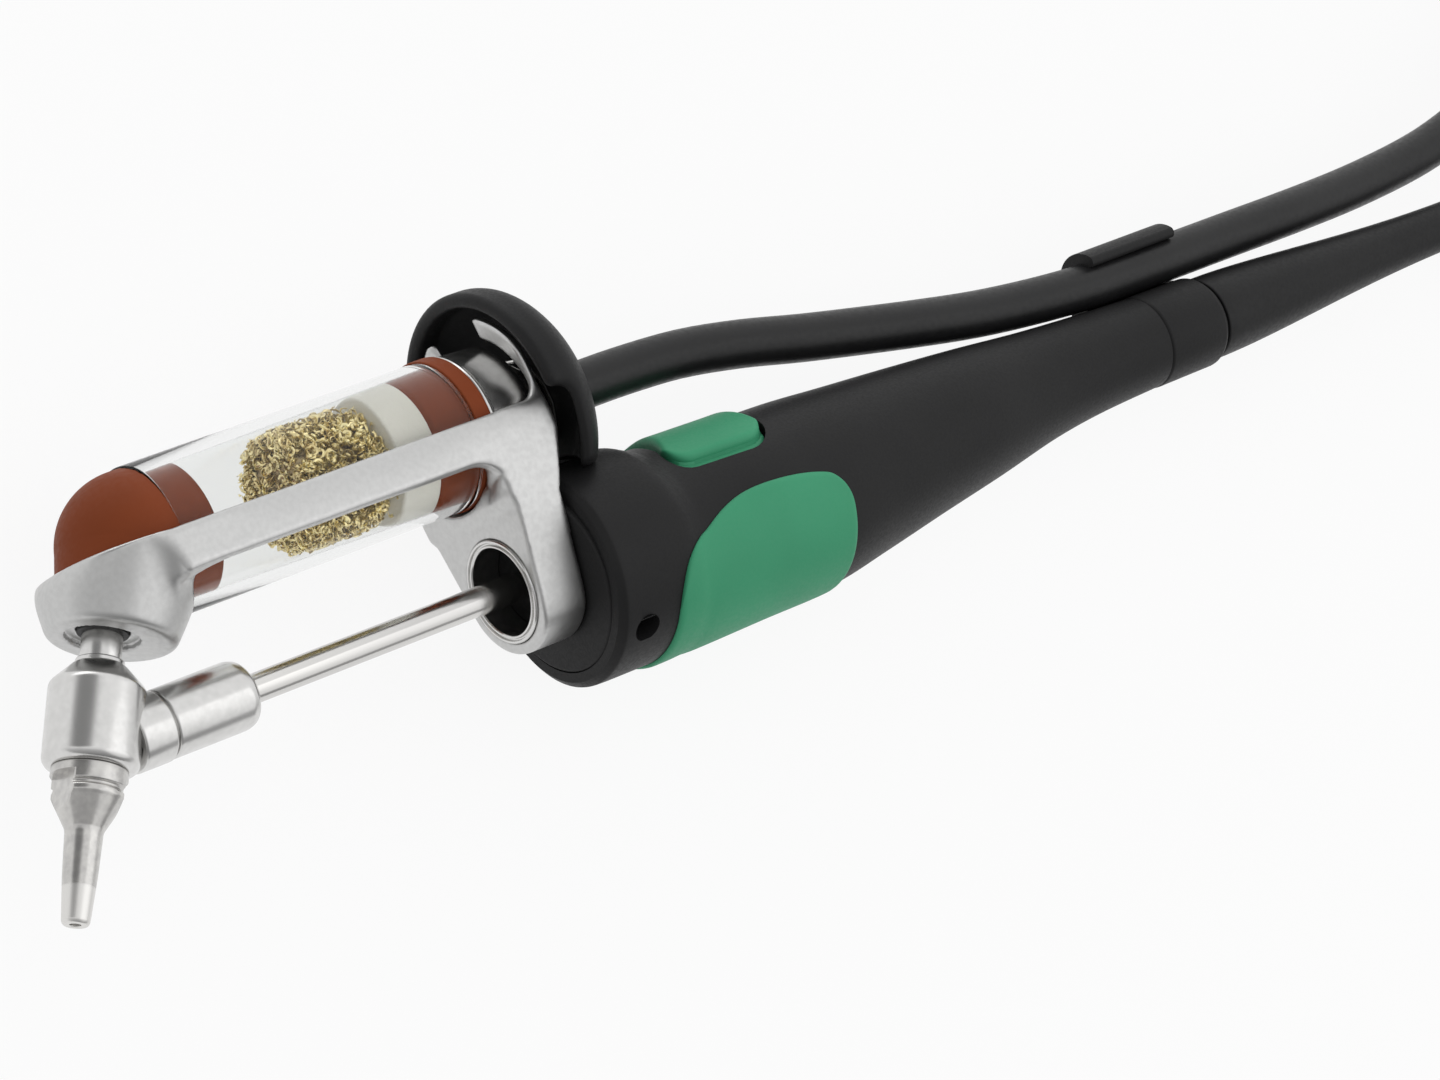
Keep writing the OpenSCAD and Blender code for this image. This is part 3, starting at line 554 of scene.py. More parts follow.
def nose_field(x, y, z, r):
    """Ball with a short, tapered skirt down the nozzle axis."""
    q = (x - NOSE[0], y - NOSE[1], z - NOSE[2])
    down = -sum(p * w for p, w in zip(q, NOZZLE_WAY))
    reach = sum(p * p for p in q)
    skirt = np.sqrt(np.maximum(reach - down * down, 0)) - r + NOSE_TAPER * down
    skirt = np.maximum(skirt, np.abs(down - NOSE_DOWN / 2) - NOSE_DOWN / 2)
    return np.minimum(np.sqrt(reach) - r, skirt)


def share_of(value, start, end):
    """0 up to the start, 1 from the end on."""
    return np.clip((value - start) / (end - start), 0, 1)


def plate_field(x, y, z):
    """Boss with two horns, a web between them and a saddle under the bell."""
    left = teardrop(y, z, BOSS_R, *HORN_LEFT, HORN_R)
    right = teardrop(y, z, BOSS_R, *HORN_RIGHT, HORN_R)
    plate = corner(smooth_min(left, right, HORN_BLEND), np.abs(x + PLATE_T / 2) - PLATE_T / 2, PLATE_EDGE)
    web = block(x, y, z, (-PLATE_T, -WEB_HALF_W, WEB_Z[0]), (0, WEB_HALF_W, WEB_Z[1]), BLOCK_EDGE)
    saddle = block(x, y, z, (-PLATE_T, ARM_OUT, SADDLE_Z[0]), (0, SADDLE_RIGHT, SADDLE_Z[1]), BLOCK_EDGE)
    return smooth_min(np.minimum(plate, web), saddle, SADDLE_BLEND)


def yoke_field(x, y, z):
    """Dished prongs round the bell, open above, on a cradle below."""
    up = z - TUBE_Z
    about_tube = np.hypot(y, up)
    front = (YOKE_FRONT + YOKE_DISH * (YOKE_R - about_tube) - x) * DISH_EVEN
    ring = np.maximum(about_tube - YOKE_R, BORE_R - about_tube)
    prongs = corner(ring, np.maximum(front, x - YOKE_END), RIM_EDGE)
    opening = up * math.sin(YOKE_OPEN) - np.abs(y) * math.cos(YOKE_OPEN)
    prongs = smooth_max(prongs, opening, PRONG_EDGE)
    band = np.maximum(about_tube - CRADLE_R, BORE_R - about_tube)
    cradle = corner(band, np.abs(x - CRADLE_X) - CRADLE_HALF, PLATE_EDGE)
    cradle = smooth_max(cradle, up + CRADLE_DROP, CRADLE_EDGE)
    return smooth_min(prongs, cradle, CRADLE_BLEND)


def solid_field(x, y, z):
    """Frame before its holes."""
    arm = block(x, y, z, (RIM[0], ARM_OUT - 1, ARM_LOW), (YOKE_END, ARM_IN, RIM[2] + 1), CUT_EDGE)
    cheek = block(x, y, z, (-PLATE_T, CHEEK_Y[0], CHEEK_Z[0]), (YOKE_END, CHEEK_Y[1], CHEEK_Z[1]),
                  BLOCK_EDGE)
    flank = FLANK_Y * y + FLANK_Z * z - BOSS_R - FLANK_DROP * share_of(x, *FLANK_X) ** 2
    solid = smooth_min(cup_field(x, y, z), arm, ARM_BLEND)
    rear = np.minimum(np.maximum(cheek, flank), plate_field(x, y, z))
    solid = smooth_min(solid, rear, REAR_BLEND)
    rim = RIM[2] + RIM_RISE * np.maximum(RIM[0] - x, 0)
    solid = smooth_max(solid, z - rim, RIM_EDGE)
    solid = smooth_min(solid, yoke_field(x, y, z), YOKE_BLEND)
    slant = YOKE_END + SLANT * np.clip(z - SLANT_TOP, -SLANT_DEPTH, 0)
    solid = smooth_max(solid, (x - slant) * SLANT_EVEN, CAST_EDGE)
    crown = CROWN * share_of(z, CROWN_LOW, CROWN_HIGH) ** 2 * share_of(x, *CROWN_X)
    outer = smooth_max(ARM_OUT + crown - y, flank, ARM_BLEND)
    return smooth_max(solid, outer, CAST_EDGE)


def frame_field(x, y, z):
    tube = np.maximum(np.hypot(y, z - TUBE_Z) - BORE_R, NOSE[0] - x)
    cavity = np.maximum(nose_field(x, y, z, NOSE_R + NOSE_GAP), x - NOSE[0] - NOSE_GAP)
    solid = smooth_max(solid_field(x, y, z), -np.minimum(cavity, tube), CUT_EDGE)
    q = [p - f for p, f in zip((x, y, z), STUB_FOOT)]
    along = sum(p * w for p, w in zip(q, NOZZLE_WAY))
    about_nozzle = np.sqrt(np.maximum(sum(p * p for p in q) - along * along, 0))
    stub_hole = np.where(along > STUB_HOLE_END, 99, 0) + about_nozzle - STUB_HOLE_R
    solid = smooth_max(solid, -stub_hole, CUT_EDGE)
    seat = np.maximum(about_nozzle - STUB_SEAT_R, along - STUB_SEAT_DEPTH)
    solid = smooth_max(solid, -seat, SEAT_EDGE)
    solid = smooth_max(solid, BOSS_HOLE_R - np.hypot(y, z), RIM_EDGE)
    handle_seat = np.maximum(np.hypot(y, z - HANDLE_Z) - HANDLE_SEAT_R, -x)
    return smooth_max(solid, -handle_seat, CUT_EDGE)


GRID = 0.3
casting_mesh = field_mesh(frame_field, (-74, -13.6, -9.3), (3.8, 13.6, 35), GRID)
settle(raw("casting", *casting_mesh), casting, "handpiece", ["tool_frame"], 0)

# Collector
SEAL_PLUG = (-53.32, -47.3)
SEAL_PLUG_R = 8.45
SEAL_NECK = 0.7
SEAL_BORE_R = 2
SEAL_BORE_FRONT = -60


def seal_field(x, y, z):
    about_tube = np.hypot(y, z - TUBE_Z)
    ball = smooth_max(nose_field(x, y, z, NOSE_R), x - NOSE[0], NOSE_GAP)
    neck = np.maximum(about_tube - NOSE_R, np.abs(x - (NOSE[0] + SEAL_PLUG[0]) / 2) - SEAL_NECK)
    middle = (NOSE[0] + SEAL_PLUG[1]) / 2
    plug = corner(about_tube - SEAL_PLUG_R, np.abs(x - middle) - (SEAL_PLUG[1] - middle), SEAL_NECK)
    solid = np.minimum(np.minimum(ball, neck), plug)
    return smooth_max(solid, -np.maximum(about_tube - SEAL_BORE_R, SEAL_BORE_FRONT - x), CUT_EDGE)


seal_mesh = field_mesh(seal_field, (-69, -10.6, 7), (-46.5, 10.6, 32), GRID)
settle(raw("nose_seal", *seal_mesh), silicone, "handpiece", ["front_seal"], 40)
turned("tube", [(-53.3, 8.5), (-53.3, 10), (-7.3, 10), (-7.3, 8.5), (-53.3, 8.5)],
       TUBE, glass, "collector", ["glass_tube"], 0.25, 128)
turned("tail_seal", [(-13, 2), (-13.3, 2), (-13.3, 7.9), (-12.6, 8.48), (-7.28, 8.48), (-7.28, 10.2),
                     (-4.8, 10.2), (-4.8, 2)],
       TUBE, silicone, "collector", ["rear_seal"], 0.25)
turned("felt_pad", [(-19.32, 0), (-19.32, 8.44), (-13.32, 8.44), (-13.32, 0)],
       TUBE, felt, "collector", ["felt_filter"], 0.5)
turned("bell", [(-4.5, 2), (-4.78, 2), (-4.78, 9.95), (-4.4, 10.1), (-4.0, 9.75), (1.9, 9.5), (2.4, 9.3),
                (2.4, 8.8), (1.0, 8.4), (0.6, 8.0), (0.6, 4.5), (8.6, 4.5), (9.1, 4), (9.1, 2)],
       TUBE, nickel, "collector", ["suction_bell"], 0.3)
turned("nipple", [(13.92, 1.4), (13.92, 2.38), (15.48, 2.38), (15.48, 1.4), (13.92, 1.4)],
       TUBE, polished, "handpiece", ["hose_nipple"], 0.05)

# Suction hood: a dish on the tube axis, set back below the arm and hollowed to sit on the handle
dish = rounded([(13.9, 4.56), (8.3, 4.56), (8.3, 9.8), (7.3, 12.2), (4.7, 14.8), (1.6, 14.8), (1.0, 15.2),
                (1.0, 16.2), (1.6, 16.8), (4.3, 16.8), (5.6, 16.4), (6.8, 15.6), (8, 14.4), (9.2, 12.8),
                (9.9, 11.2), (10.3, 8.8), (10.9, 6.9), (11.9, 5.9), (12.7, 5.9), (15.5, 3.8), (15.5, 2.4),
                (13.9, 2.4)], 0.6)


HOOD_STEP = 4
HOOD_STEP_EDGE = 2.5
HOOD_STEP_BLEND = 1.4
HOOD_LOW = 10.5
HOOD_SEAT_R = 14.48


def hood_field(x, y, z):
    body = outline_field(x, np.hypot(y, z - TUBE_Z), dish)
    lower_front = smooth_max(x - HOOD_STEP, z - RIM[2], HOOD_STEP_EDGE)
    body = smooth_max(body, -lower_front, HOOD_STEP_BLEND)
    body = smooth_max(body, HOOD_SEAT_R - np.hypot(y, z - HANDLE_Z), CUT_EDGE)
    return smooth_max(body, HOOD_LOW - z, CAST_EDGE)


hood_mesh = field_mesh(hood_field, (0.3, -17.6, 4.4), (16.2, 17.6, 39), 0.32)
settle(raw("hood", *hood_mesh), black, "handpiece", ["suction_hood"], 50)

# Brass turnings: flat ribbons curled round a core of brass painted dark as the shade inside the wad
WOOL = (-33, -19.6)
WOOL_R = 8
WOOL_SKIN = 1.5
CURLS = 1150
CURL_POINTS = 16
ON_FRONT = 0.2


def wool_radius(x):
    """Lump outline, pulled in at the front."""
    t = (x - WOOL[0]) / (WOOL[1] - WOOL[0])
    return WOOL_R * (0.84 + 0.16 * math.sin(math.pi * min(1, 0.1 + t)) ** 0.5)


def crumple(s, r, a):
    return r * (0.93 + 0.05 * math.sin(5 * a + s) + 0.04 * math.sin(9 * a - 2.3 * s))


span = [float(x) for x in np.linspace(WOOL[0] + 0.8, WOOL[1] - 0.4, 17)]
core = [(span[0], 0)] + [(x, wool_radius(x) - WOOL_SKIN) for x in span] + [(span[-1], 0)]
turned("wool_core", core, TUBE, painted_shade_brass_core, "collector", [], 0.8, 64, crumple)


def curl():
    """Points of one short curled ribbon near the lump's outside."""
    on_front = random.random() < ON_FRONT
    x = WOOL[0] + random.uniform(0, 1.6) if on_front else random.uniform(*WOOL)
    a = random.uniform(0, 2 * math.pi)
    r = wool_radius(x) * (math.sqrt(random.random()) if on_front else random.uniform(0.8, 0.98))
    way = Vector((random.gauss(0, 1), random.gauss(0, 1), random.gauss(0, 1))).normalized()
    side = way.orthogonal().normalized()
    other = way.cross(side)
    pace = random.uniform(0.5, 1.1)
    rise = random.uniform(0.05, 0.2)
    loop = random.uniform(0.25, 0.65)
    start = random.uniform(0, 6.28)
    points = []
    for k in range(CURL_POINTS):
        swing = side * math.cos(pace * k + start) + other * math.sin(pace * k + start)
        q = Vector((x, r * math.cos(a), r * math.sin(a)))
        q = q + way * rise * (k - CURL_POINTS / 2) + swing * loop
        far = math.hypot(q.y, q.z)
        limit = min(1, WOOL_R / max(far, 1e-6))
        points.append((min(max(q.x, WOOL[0] - 0.2), WOOL[1]), q.y * limit, q.z * limit + TUBE_Z))
    return points


turnings_curve = bpy.data.curves.new("turnings", "CURVE")
turnings_curve.dimensions = "3D"
turnings_curve.extrude = 0.00017
turnings_curve.bevel_depth = 0.00003
turnings_curve.bevel_resolution = 0
for _ in range(CURLS):
    points = curl()
    spline = turnings_curve.splines.new("POLY")
    spline.points.add(len(points) - 1)
    for s, q in zip(spline.points, points):
        s.co = (*place(q), 1)
        s.tilt = random.uniform(-0.4, 0.4)
    spline.use_smooth = True
turnings = bpy.data.objects.new("turnings", turnings_curve)
scene.collection.objects.link(turnings)
turnings_curve.materials.append(brass)
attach(turnings, "collector")
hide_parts("brass_wool")


# Handle: distance, centre height, half height, half width
STATIONS = np.array([[0.6, -1.2, 13.4, 13.4], [1.3, -1.2, 14.1, 14.1], [2.6, -1.2, 14.4, 14.4],
                     [12, -1.2, 14.4, 14.4], [15, -1.6, 13.9, 13.9], [18, -2.1, 13.5, 13.6],
                     [30, -2.2, 13.2, 13.4], [42, -2.2, 13.0, 13.1], [52, -1.8, 12.0, 12.2],
                     [64, -1.2, 10.7, 10.9], [76, -0.7, 9.4, 9.5], [88, -0.2, 7.9, 7.9],
                     [98, 0, 7.1, 7.1], [109.6, 0, 6.6, 6.6]])
HANDLE_END = 109.6
FACE_LEAN = 0.05
LEAN_END = 16
AROUND = 144


def between(a, b, c, d, t):
    """Smooth curve from b to c, with a before and d after."""
    return 0.5 * (2 * b + (c - a) * t + (2 * a - 5 * b + 4 * c - d) * t ** 2
                  + (3 * b - a - 3 * c + d) * t ** 3)


def through(points, steps):
    """Smooth curve through points."""
    p = np.array(points, float)
    last = len(p) - 1
    out = [between(p[max(i - 1, 0)], p[i], p[i + 1], p[min(i + 2, last)], k / steps)
           for i in range(last)
           for k in range(steps)]
    return np.array(out + [p[-1]])


RINGS = through(STATIONS, 8)


def section(x):
    return [np.interp(x, RINGS[:, 0], RINGS[:, k]) for k in (1, 2, 3)]


def skin(x, angle, proud):
    """Point on the handle; the angle counts from the belly."""
    mid, half_h, half_w = section(x)
    y = (half_w + proud) * math.sin(angle)
    z = mid - (half_h + proud) * math.cos(angle)
    return (x + FACE_LEAN * z * max(0, 1 - x / LEAN_END), y, z)


def loft(rows):
    n = len(rows[0])
    verts = [place(p) for r in rows for p in r]
    faces = [[i * n + j, i * n + (j + 1) % n, (i + 1) * n + (j + 1) % n, (i + 1) * n + j]
             for i in range(len(rows) - 1) for j in range(n)]
    faces.append(list(range(n))[::-1])
    faces.append([(len(rows) - 1) * n + j for j in range(n)])
    return verts, faces


def cut(ob, *cutters):
    for c in cutters:
        m = ob.modifiers.new("cut", "BOOLEAN")
        m.object = c
        m.operation = "DIFFERENCE"
        m.solver = "EXACT"
        done = bpy.data.meshes.new_from_object(ob.evaluated_get(bpy.context.evaluated_depsgraph_get()))
        ob.modifiers.clear()
        ob.data = done
        bpy.data.objects.remove(c)
    return ob


def rod(line, start, end, r, sides=64):
    return raw("cutter", *lathe([(start, 0), (start, r), (end, r), (end, 0)], *line, sides=sides))


# Trigger opening, its front end bowed to the rear in the middle
BUTTON_X = (21.2, 35.2)
BUTTON_BOW = 0.038
BUTTON_HALF_W = 11
BUTTON_CORNER = 3.5
POCKET_GAP = 0.35
POCKET_FLOOR = 1


def bowed(x, y):
    """Distance on the button, drawn forwards at the sides of its front end."""
    share = (BUTTON_X[1] - x) / (BUTTON_X[1] - BUTTON_X[0])
    return x - BUTTON_BOW * y * y * max(0, share)


def round_corners(half_x, half_y, r):
    """Rectangle about the origin with round corners."""
    out = []
    for i, (sx, sy) in enumerate(((1, 1), (-1, 1), (-1, -1), (1, -1))):
        for k in range(9):
            a = math.radians(90 * i + 90 * k / 8)
            out.append((sx * (half_x - r) + r * math.cos(a), sy * (half_y - r) + r * math.sin(a)))
    return out


button_mid = sum(BUTTON_X) / 2
button_half = (BUTTON_X[1] - BUTTON_X[0]) / 2
plan = round_corners(button_half + POCKET_GAP, BUTTON_HALF_W + POCKET_GAP, BUTTON_CORNER + POCKET_GAP)
pocket = raw("pocket", *loft([[(bowed(button_mid + x, y), y, z) for x, y in plan]
                              for z in (POCKET_FLOOR, 20)]))

# Side screws
SCREW_X = 4.4
SCREW_TURN = math.radians(47)
SCREW_HOLE_R = 2.7
SCREW_SEAT = 12.2
screw_lines = [((SCREW_X, 0, -1.2), (0, s * math.cos(SCREW_TURN), -math.sin(SCREW_TURN))) for s in (-1, 1)]

xs = np.unique(np.round(np.concatenate([np.linspace(0.6, 3, 13), np.linspace(3, 20, 35),
                                        np.linspace(20, HANDLE_END, 90)]), 3))
handle = raw("handle", *loft([[skin(float(x), 2 * math.pi * k / AROUND, 0) for k in range(AROUND)]
                              for x in xs]))
BELL_RUN = 7.3
CAP_T = 5
CAP_SEAT_R = 12.12
BOOT_SEAT = 101.6
BOOT_SEAT_R = 4.6
cut(handle, pocket, rod(COLLAR, -CAP_T, CAP_T, CAP_SEAT_R, 96), rod(TUBE, -1, BELL_RUN, BORE_R, 96),
    rod(STEM, BOOT_SEAT, HANDLE_END + 1.4, BOOT_SEAT_R),
    *[rod(s, SCREW_SEAT, 16, SCREW_HOLE_R, 48) for s in screw_lines])
settle(handle, black, "handpiece", ["handle_body"], 40)

# Sleeve round the stem inside the boss bush, painted near-black as the shade in the bore
turned("cap_neck", [(0.5, 1.92), (-3, 1.92), (-3, 5.83), (0.5, 5.83), (0.5, 1.92)],
       STEM, painted_bore_shade, "handpiece", [], 0.15)
turned("cap", [(0.02, 3.3), (0.02, 12.1), (4.98, 12.1), (4.98, 3.3), (0.02, 3.3)],
       COLLAR, black, "handpiece", ["front_cap"], 0.4)
for name, line, nodes in zip(("screw_left", "screw_right"), screw_lines, (["side_screws"], [])):
    turned(name, [(12.22, 0), (12.22, 2.68), (12.9, 2.68), (12.9, 1.3), (12.4, 1.3), (12.4, 0)],
           line, oxide, "handpiece", nodes, 0.12, 48)


# Finger grip and trigger: pads with soft edges
def patch(outer, inner):
    """Closed skin between two sheets of points."""
    m = len(outer)
    n = len(outer[0])
    verts = [place(p) for sheet in (outer, inner) for r in sheet for p in r]
    o = n * m
    faces = []
    for i in range(m - 1):
        for j in range(n - 1):
            q = [i * n + j, i * n + j + 1, (i + 1) * n + j + 1, (i + 1) * n + j]
            faces += [q, [o + x for x in reversed(q)]]
        for j in (0, n - 1):
            faces.append([i * n + j, (i + 1) * n + j, o + (i + 1) * n + j, o + i * n + j])
    for j in range(n - 1):
        for i in (0, (m - 1) * n):
            faces.append([i + j, i + j + 1, o + i + j + 1, o + i + j])
    return verts, faces


def swell(gaps, radius):
    """Rise from 0 at the nearest edge to 1 inside, with a round shoulder."""
    near = sum(max(g, 1e-4) ** -4 for g in gaps) ** -0.25
    d = min(1.0, near / radius)
    return math.sqrt(1 - (1 - d) ** 2)


# Mean half width of the handle under the pads
HALF_WIDTH = 13.5


def pad(start, end, half_angle, middle, rows, columns, rise, drop, bend=lambda x, y: x):
    """Pad on the handle; rise and drop give its two sheets, and bend shifts it along the handle."""
    outer = []
    inner = []
    for i in range(rows + 1):
        u = 0.5 - 0.5 * math.cos(math.pi * i / rows)
        x = start + (end - start) * u
        a = half_angle(x)
        top = []
        base = []
        for k in range(columns + 1):
            w = math.sin(math.pi * (k / columns - 0.5))
            gaps = (a * (1 - abs(w)) * HALF_WIDTH, x - start, end - x)
            proud = rise(gaps)
            across = (section(x)[2] + proud) * math.sin(a * w)
            p = skin(bend(x, across), middle + a * w, proud)
            top.append(p)
            base.append(drop(x, middle + a * w, p))
        outer.append(top)
        inner.append(base)
    return patch(outer, inner)


# Edge of the grip: share of its length, and angle up from the belly
GRIP_X = (10, 41.4)
GRIP_EDGE = through([[0, 46], [0.016, 58], [0.064, 71], [0.172, 83], [0.331, 94], [0.497, 99], [0.717, 98],
                     [0.892, 93], [0.955, 87], [0.987, 78], [1, 66]], 8)


def grip_angle(x):
    share = (x - GRIP_X[0]) / (GRIP_X[1] - GRIP_X[0])
    return math.radians(np.interp(share, GRIP_EDGE[:, 0], GRIP_EDGE[:, 1]))


GRIP_FOOT = 0.04
GRIP_RISE = 0.5
GRIP_SHOULDER = 0.9


def grip_rise(gaps):
    return GRIP_FOOT + GRIP_RISE * swell(gaps, GRIP_SHOULDER)


grip = raw("grip", *pad(*GRIP_X, grip_angle, 0, 80, 96, grip_rise, lambda x, a, p: skin(x, a, 0.02)))
settle(grip, green, "handpiece", ["finger_grip"], 50)

BUTTON_T = 2.2
BUTTON_FOOT = -0.3
BUTTON_RISE = 1.2
BUTTON_SHOULDER = 1.0


def button_angle(x):
    d = min(x - BUTTON_X[0], BUTTON_X[1] - x)
    short = BUTTON_CORNER - min(d, BUTTON_CORNER)
    half = BUTTON_HALF_W - BUTTON_CORNER + math.sqrt(max(0, BUTTON_CORNER ** 2 - short ** 2))
    return math.asin(half / (section(x)[2] + 0.6))


def button_rise(gaps):
    return BUTTON_FOOT + BUTTON_RISE * swell(gaps, BUTTON_SHOULDER)


trigger = raw("trigger", *pad(BUTTON_X[0] + 0.02, BUTTON_X[1] - 0.02, button_angle, math.pi, 64, 80,
                              button_rise, lambda x, a, p: (p[0], p[1], p[2] - BUTTON_T), bowed))
settle(trigger, green, "trigger", ["trigger_button"], 50)

# Rear of the handle
CUFF_END = 122
BOOT_END = 178
turned("cuff", [(109.62, 4.62), (109.62, 6.3), (110.0, 6.7), (120.8, 6.6), (CUFF_END, 5.6),
                (CUFF_END, 4.62), (109.62, 4.62)],
       STEM, black, "handpiece", ["rear_cuff"], 0.4)
boot = [(101.62, 0), (101.62, 4.58), (CUFF_END + 0.02, 4.58), (CUFF_END + 0.02, 6)]
boot += [(CUFF_END + 2 + (BOOT_END - CUFF_END - 2) * k / 40,
          3.5 + 2.5 * (1 + math.cos(math.pi * (k / 40) ** 0.8)) / 2) for k in range(41)]
turned("boot", boot + [(BOOT_END, 0)], STEM, rubber, "handpiece", ["strain_relief"], 0.3)

# Cords: distance, height above the heater axis, height above the bench, in millimetres
CABLE = [(178, 0, 16.8), (180, 0, 16.8), (186, -0.3, 16.5), (194, -1.6, 15.5), (202, -3.5, 13.9),
         (210, -5.9, 12), (218, -8.5, 9.9), (226, -10.9, 7.8), (234, -13, 6.1), (242, -14.5, 4.9),
         (248, -15, 4.5), (253, -15, 4.5)]
CABLE_TAIL = [(357, -15, 10.5), (364, -15, 10.4), (371, -14.7, 10), (378, -14.1, 9.2), (385, -13.5, 8.4),
              (392, -13.1, 7.8), (398, -13, 7.5), (403, -13, 7.5)]
HOSE = [(15.5, 21.5, 16.8), (24, 21.5, 16.8), (34, 21, 16.8), (44, 19.5, 16.8), (54, 17.4, 16.8),
        (64, 15.5, 16.8), (74, 13.7, 16.8), (84, 12.1, 16.8), (94, 11, 16.8), (104, 10.3, 16.8),
        (112, 10.1, 16.8), (122, 10.1, 16.8), (134, 10.1, 16.6), (148, 10.1, 16), (162, 10.4, 15.2),
        (176, 11.4, 14.4), (186, 13, 14.1), (196, 15.6, 14.1), (206, 19.2, 14.5), (216, 23.4, 15.2),
        (226, 27.8, 16.1), (236, 31.8, 16.9), (244, 34.2, 17.1), (250, 35.2, 17.1), (253, 35.4, 17.1)]
HOSE_TAIL = [(357, 35.4, 23.7), (364, 35.4, 23.7), (371, 35.4, 23.6), (378, 35.3, 22.3), (385, 35.1, 20.1),
             (392, 34.8, 17.1), (399, 34.5, 13.9), (406, 34.2, 10.7), (413, 34, 7.9), (420, 34, 5.9),
             (428, 34, 5), (434, 34, 5)]
HANK_X = 305
HANK_UP = 9
HANK_HALF = 55
HANK_LEAD = 7
RUN_STEPS = 8
FOLD_STEPS = 16
CABLE_R = 3
HOSE_R = 3.3


def folds(side, outer, inner, low, high):
    """Two turns on two layers, starting on one side."""
    points = []
    front = HANK_X - HANK_HALF
    rear = HANK_X + HANK_HALF

    def run(a, b, y, z):
        for k in range(1, RUN_STEPS + 1):
            points.append((a + (b - a) * k / RUN_STEPS, HANK_UP + side * y, z))

    def fold(x, y0, y1, way, z0, z1):
        mid = (y0 + y1) / 2
        r = (y0 - y1) / 2
        for k in range(1, FOLD_STEPS + 1):
            a = math.pi * k / FOLD_STEPS
            points.append((x + way * abs(r) * math.sin(a), HANK_UP + side * (mid + r * math.cos(a)),
                           z0 + (z1 - z0) * (1 - math.cos(a)) / 2))

    run(front + HANK_LEAD, rear, outer, low)
    for y0, y1, y2, z0, z1 in ((outer, -outer, inner, low, low), (inner, -inner, inner, low, high),
                               (inner, -inner, outer, high, high)):
        fold(rear, y0, y1, 1, z0, z0)
        run(rear, front, y1, z0)
        fold(front, y1, y2, -1, z0, z1)
        run(front, rear - (HANK_LEAD if y2 == outer else 0), y2, z1)
    return points


def cord(name, points, radius, material, nodes):
    curve = bpy.data.curves.new(name, "CURVE")
    curve.dimensions = "3D"
    curve.bevel_depth = radius / 1000
    curve.bevel_resolution = 8
    curve.use_fill_caps = True
    line = through(points, 4)
    spline = curve.splines.new("POLY")
    spline.points.add(len(line) - 1)
    for q, p in zip(spline.points, line):
        q.co = (*on_bench(p), 1)
    spline.use_smooth = True
    ob = bpy.data.objects.new(name, curve)
    scene.collection.objects.link(ob)
    curve.materials.append(material)
    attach(ob, "handpiece")
    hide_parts(*nodes)
    return ob


cable = cord("cable", CABLE + folds(-1, 24, 18, 4.5, 10.5) + CABLE_TAIL, CABLE_R, rubber,
             ["power_cable", "cable_hank", "cable_tail"])
hose = cord("hose", HOSE + folds(1, 26.4, 19.8, 17.1, 23.7) + HOSE_TAIL, HOSE_R, hose_mat,
            ["suction_hose", "hose_hank", "hose_tail"])


def cord_end(p):
    return ((p[0], BENCH - p[2], p[1]), (1, 0, 0))


# Plug on the cable and fitting on the hose
PLUG = cord_end(CABLE_TAIL[-1])
CONTACTS = 6
CONTACT_CIRCLE = 3
KNURLS = 36
plug = turned("plug", [(0, 3), (0, 3.8), (10, 4.8), (11, 6), (12, 6.5), (24, 6.5), (24, 6.1), (30.2, 6.1),
                       (30.2, 5.5), (38, 5.5), (38, 4.8), (29, 4.8), (29, 0)],
              PLUG, black, "handpiece", ["plug_body"], 0.3)


def knurl(s, r, a):
    return r - 0.18 * (0.5 + 0.5 * math.cos(KNURLS * a)) if r > 7.1 else r


ring = turned("coupling_ring", [(24.02, 6.15), (24.02, 7), (24.5, 7.5), (29.5, 7.5), (30, 7), (30, 6.15),
                                (24.02, 6.15)],
              PLUG, polished, "handpiece", ["plug_ring"], 0.15, 288, knurl)
for i in range(CONTACTS):
    a = 2 * math.pi * i / CONTACTS
    (px, py, pz), way = PLUG
    line = ((px, py - CONTACT_CIRCLE * math.sin(a), pz + CONTACT_CIRCLE * math.cos(a)), way)
    nodes = ["plug_pins"] if i == 0 else []
    turned("contact_%d" % (i + 1), [(29.02, 0), (29.02, 0.6), (36, 0.6), (36, 0)],
                           line, gold, "handpiece", nodes, 0.25, 24)
fitting = turned("fitting", [(0, 1.6), (0, 3.9), (1, 5), (12, 5), (13, 4), (13, 3), (22, 3), (23, 2.6),
                             (23, 1.6), (0, 1.6)],
                 cord_end(HOSE_TAIL[-1]), polished, "handpiece", ["hose_fitting"], 0.25)

# Strap round both hanks
STRAP_HALF = 6
STRAP_T = 1.2
STRAP_LOW = 1.2
STRAP_HIGH = 27.3
STRAP_HALF_UP = 30
STRAP_CORNER = 4
strap_mid = (STRAP_LOW + STRAP_HIGH) / 2
strap_half = (STRAP_HIGH - STRAP_LOW) / 2
loops = [round_corners(STRAP_HALF_UP + grow, strap_half + grow, STRAP_CORNER + grow)
         for grow in (0, STRAP_T)]
verts = []
for x, loop in ((-1, loops[0]), (-1, loops[1]), (1, loops[1]), (1, loops[0])):
    verts += [on_bench((HANK_X + x * STRAP_HALF, HANK_UP + u, strap_mid + v)) for u, v in loop]
n = len(loops[0])
faces = [[a * n + j, a * n + (j + 1) % n, (a + 1) % 4 * n + (j + 1) % n, (a + 1) % 4 * n + j]
         for a in range(4) for j in range(n)]
strap = settle(raw("strap", verts, faces), webbing, "handpiece", ["hank_tie"])

# CAD nodes that are shown as they are
for node, material in (("contact_block", black), ("hose_clip", black), ("bell_spring", wire),
                       ("trigger_spring", wire), ("micro_switch", black)):
    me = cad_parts[node].data
    me.materials.clear()
    me.materials.append(material)


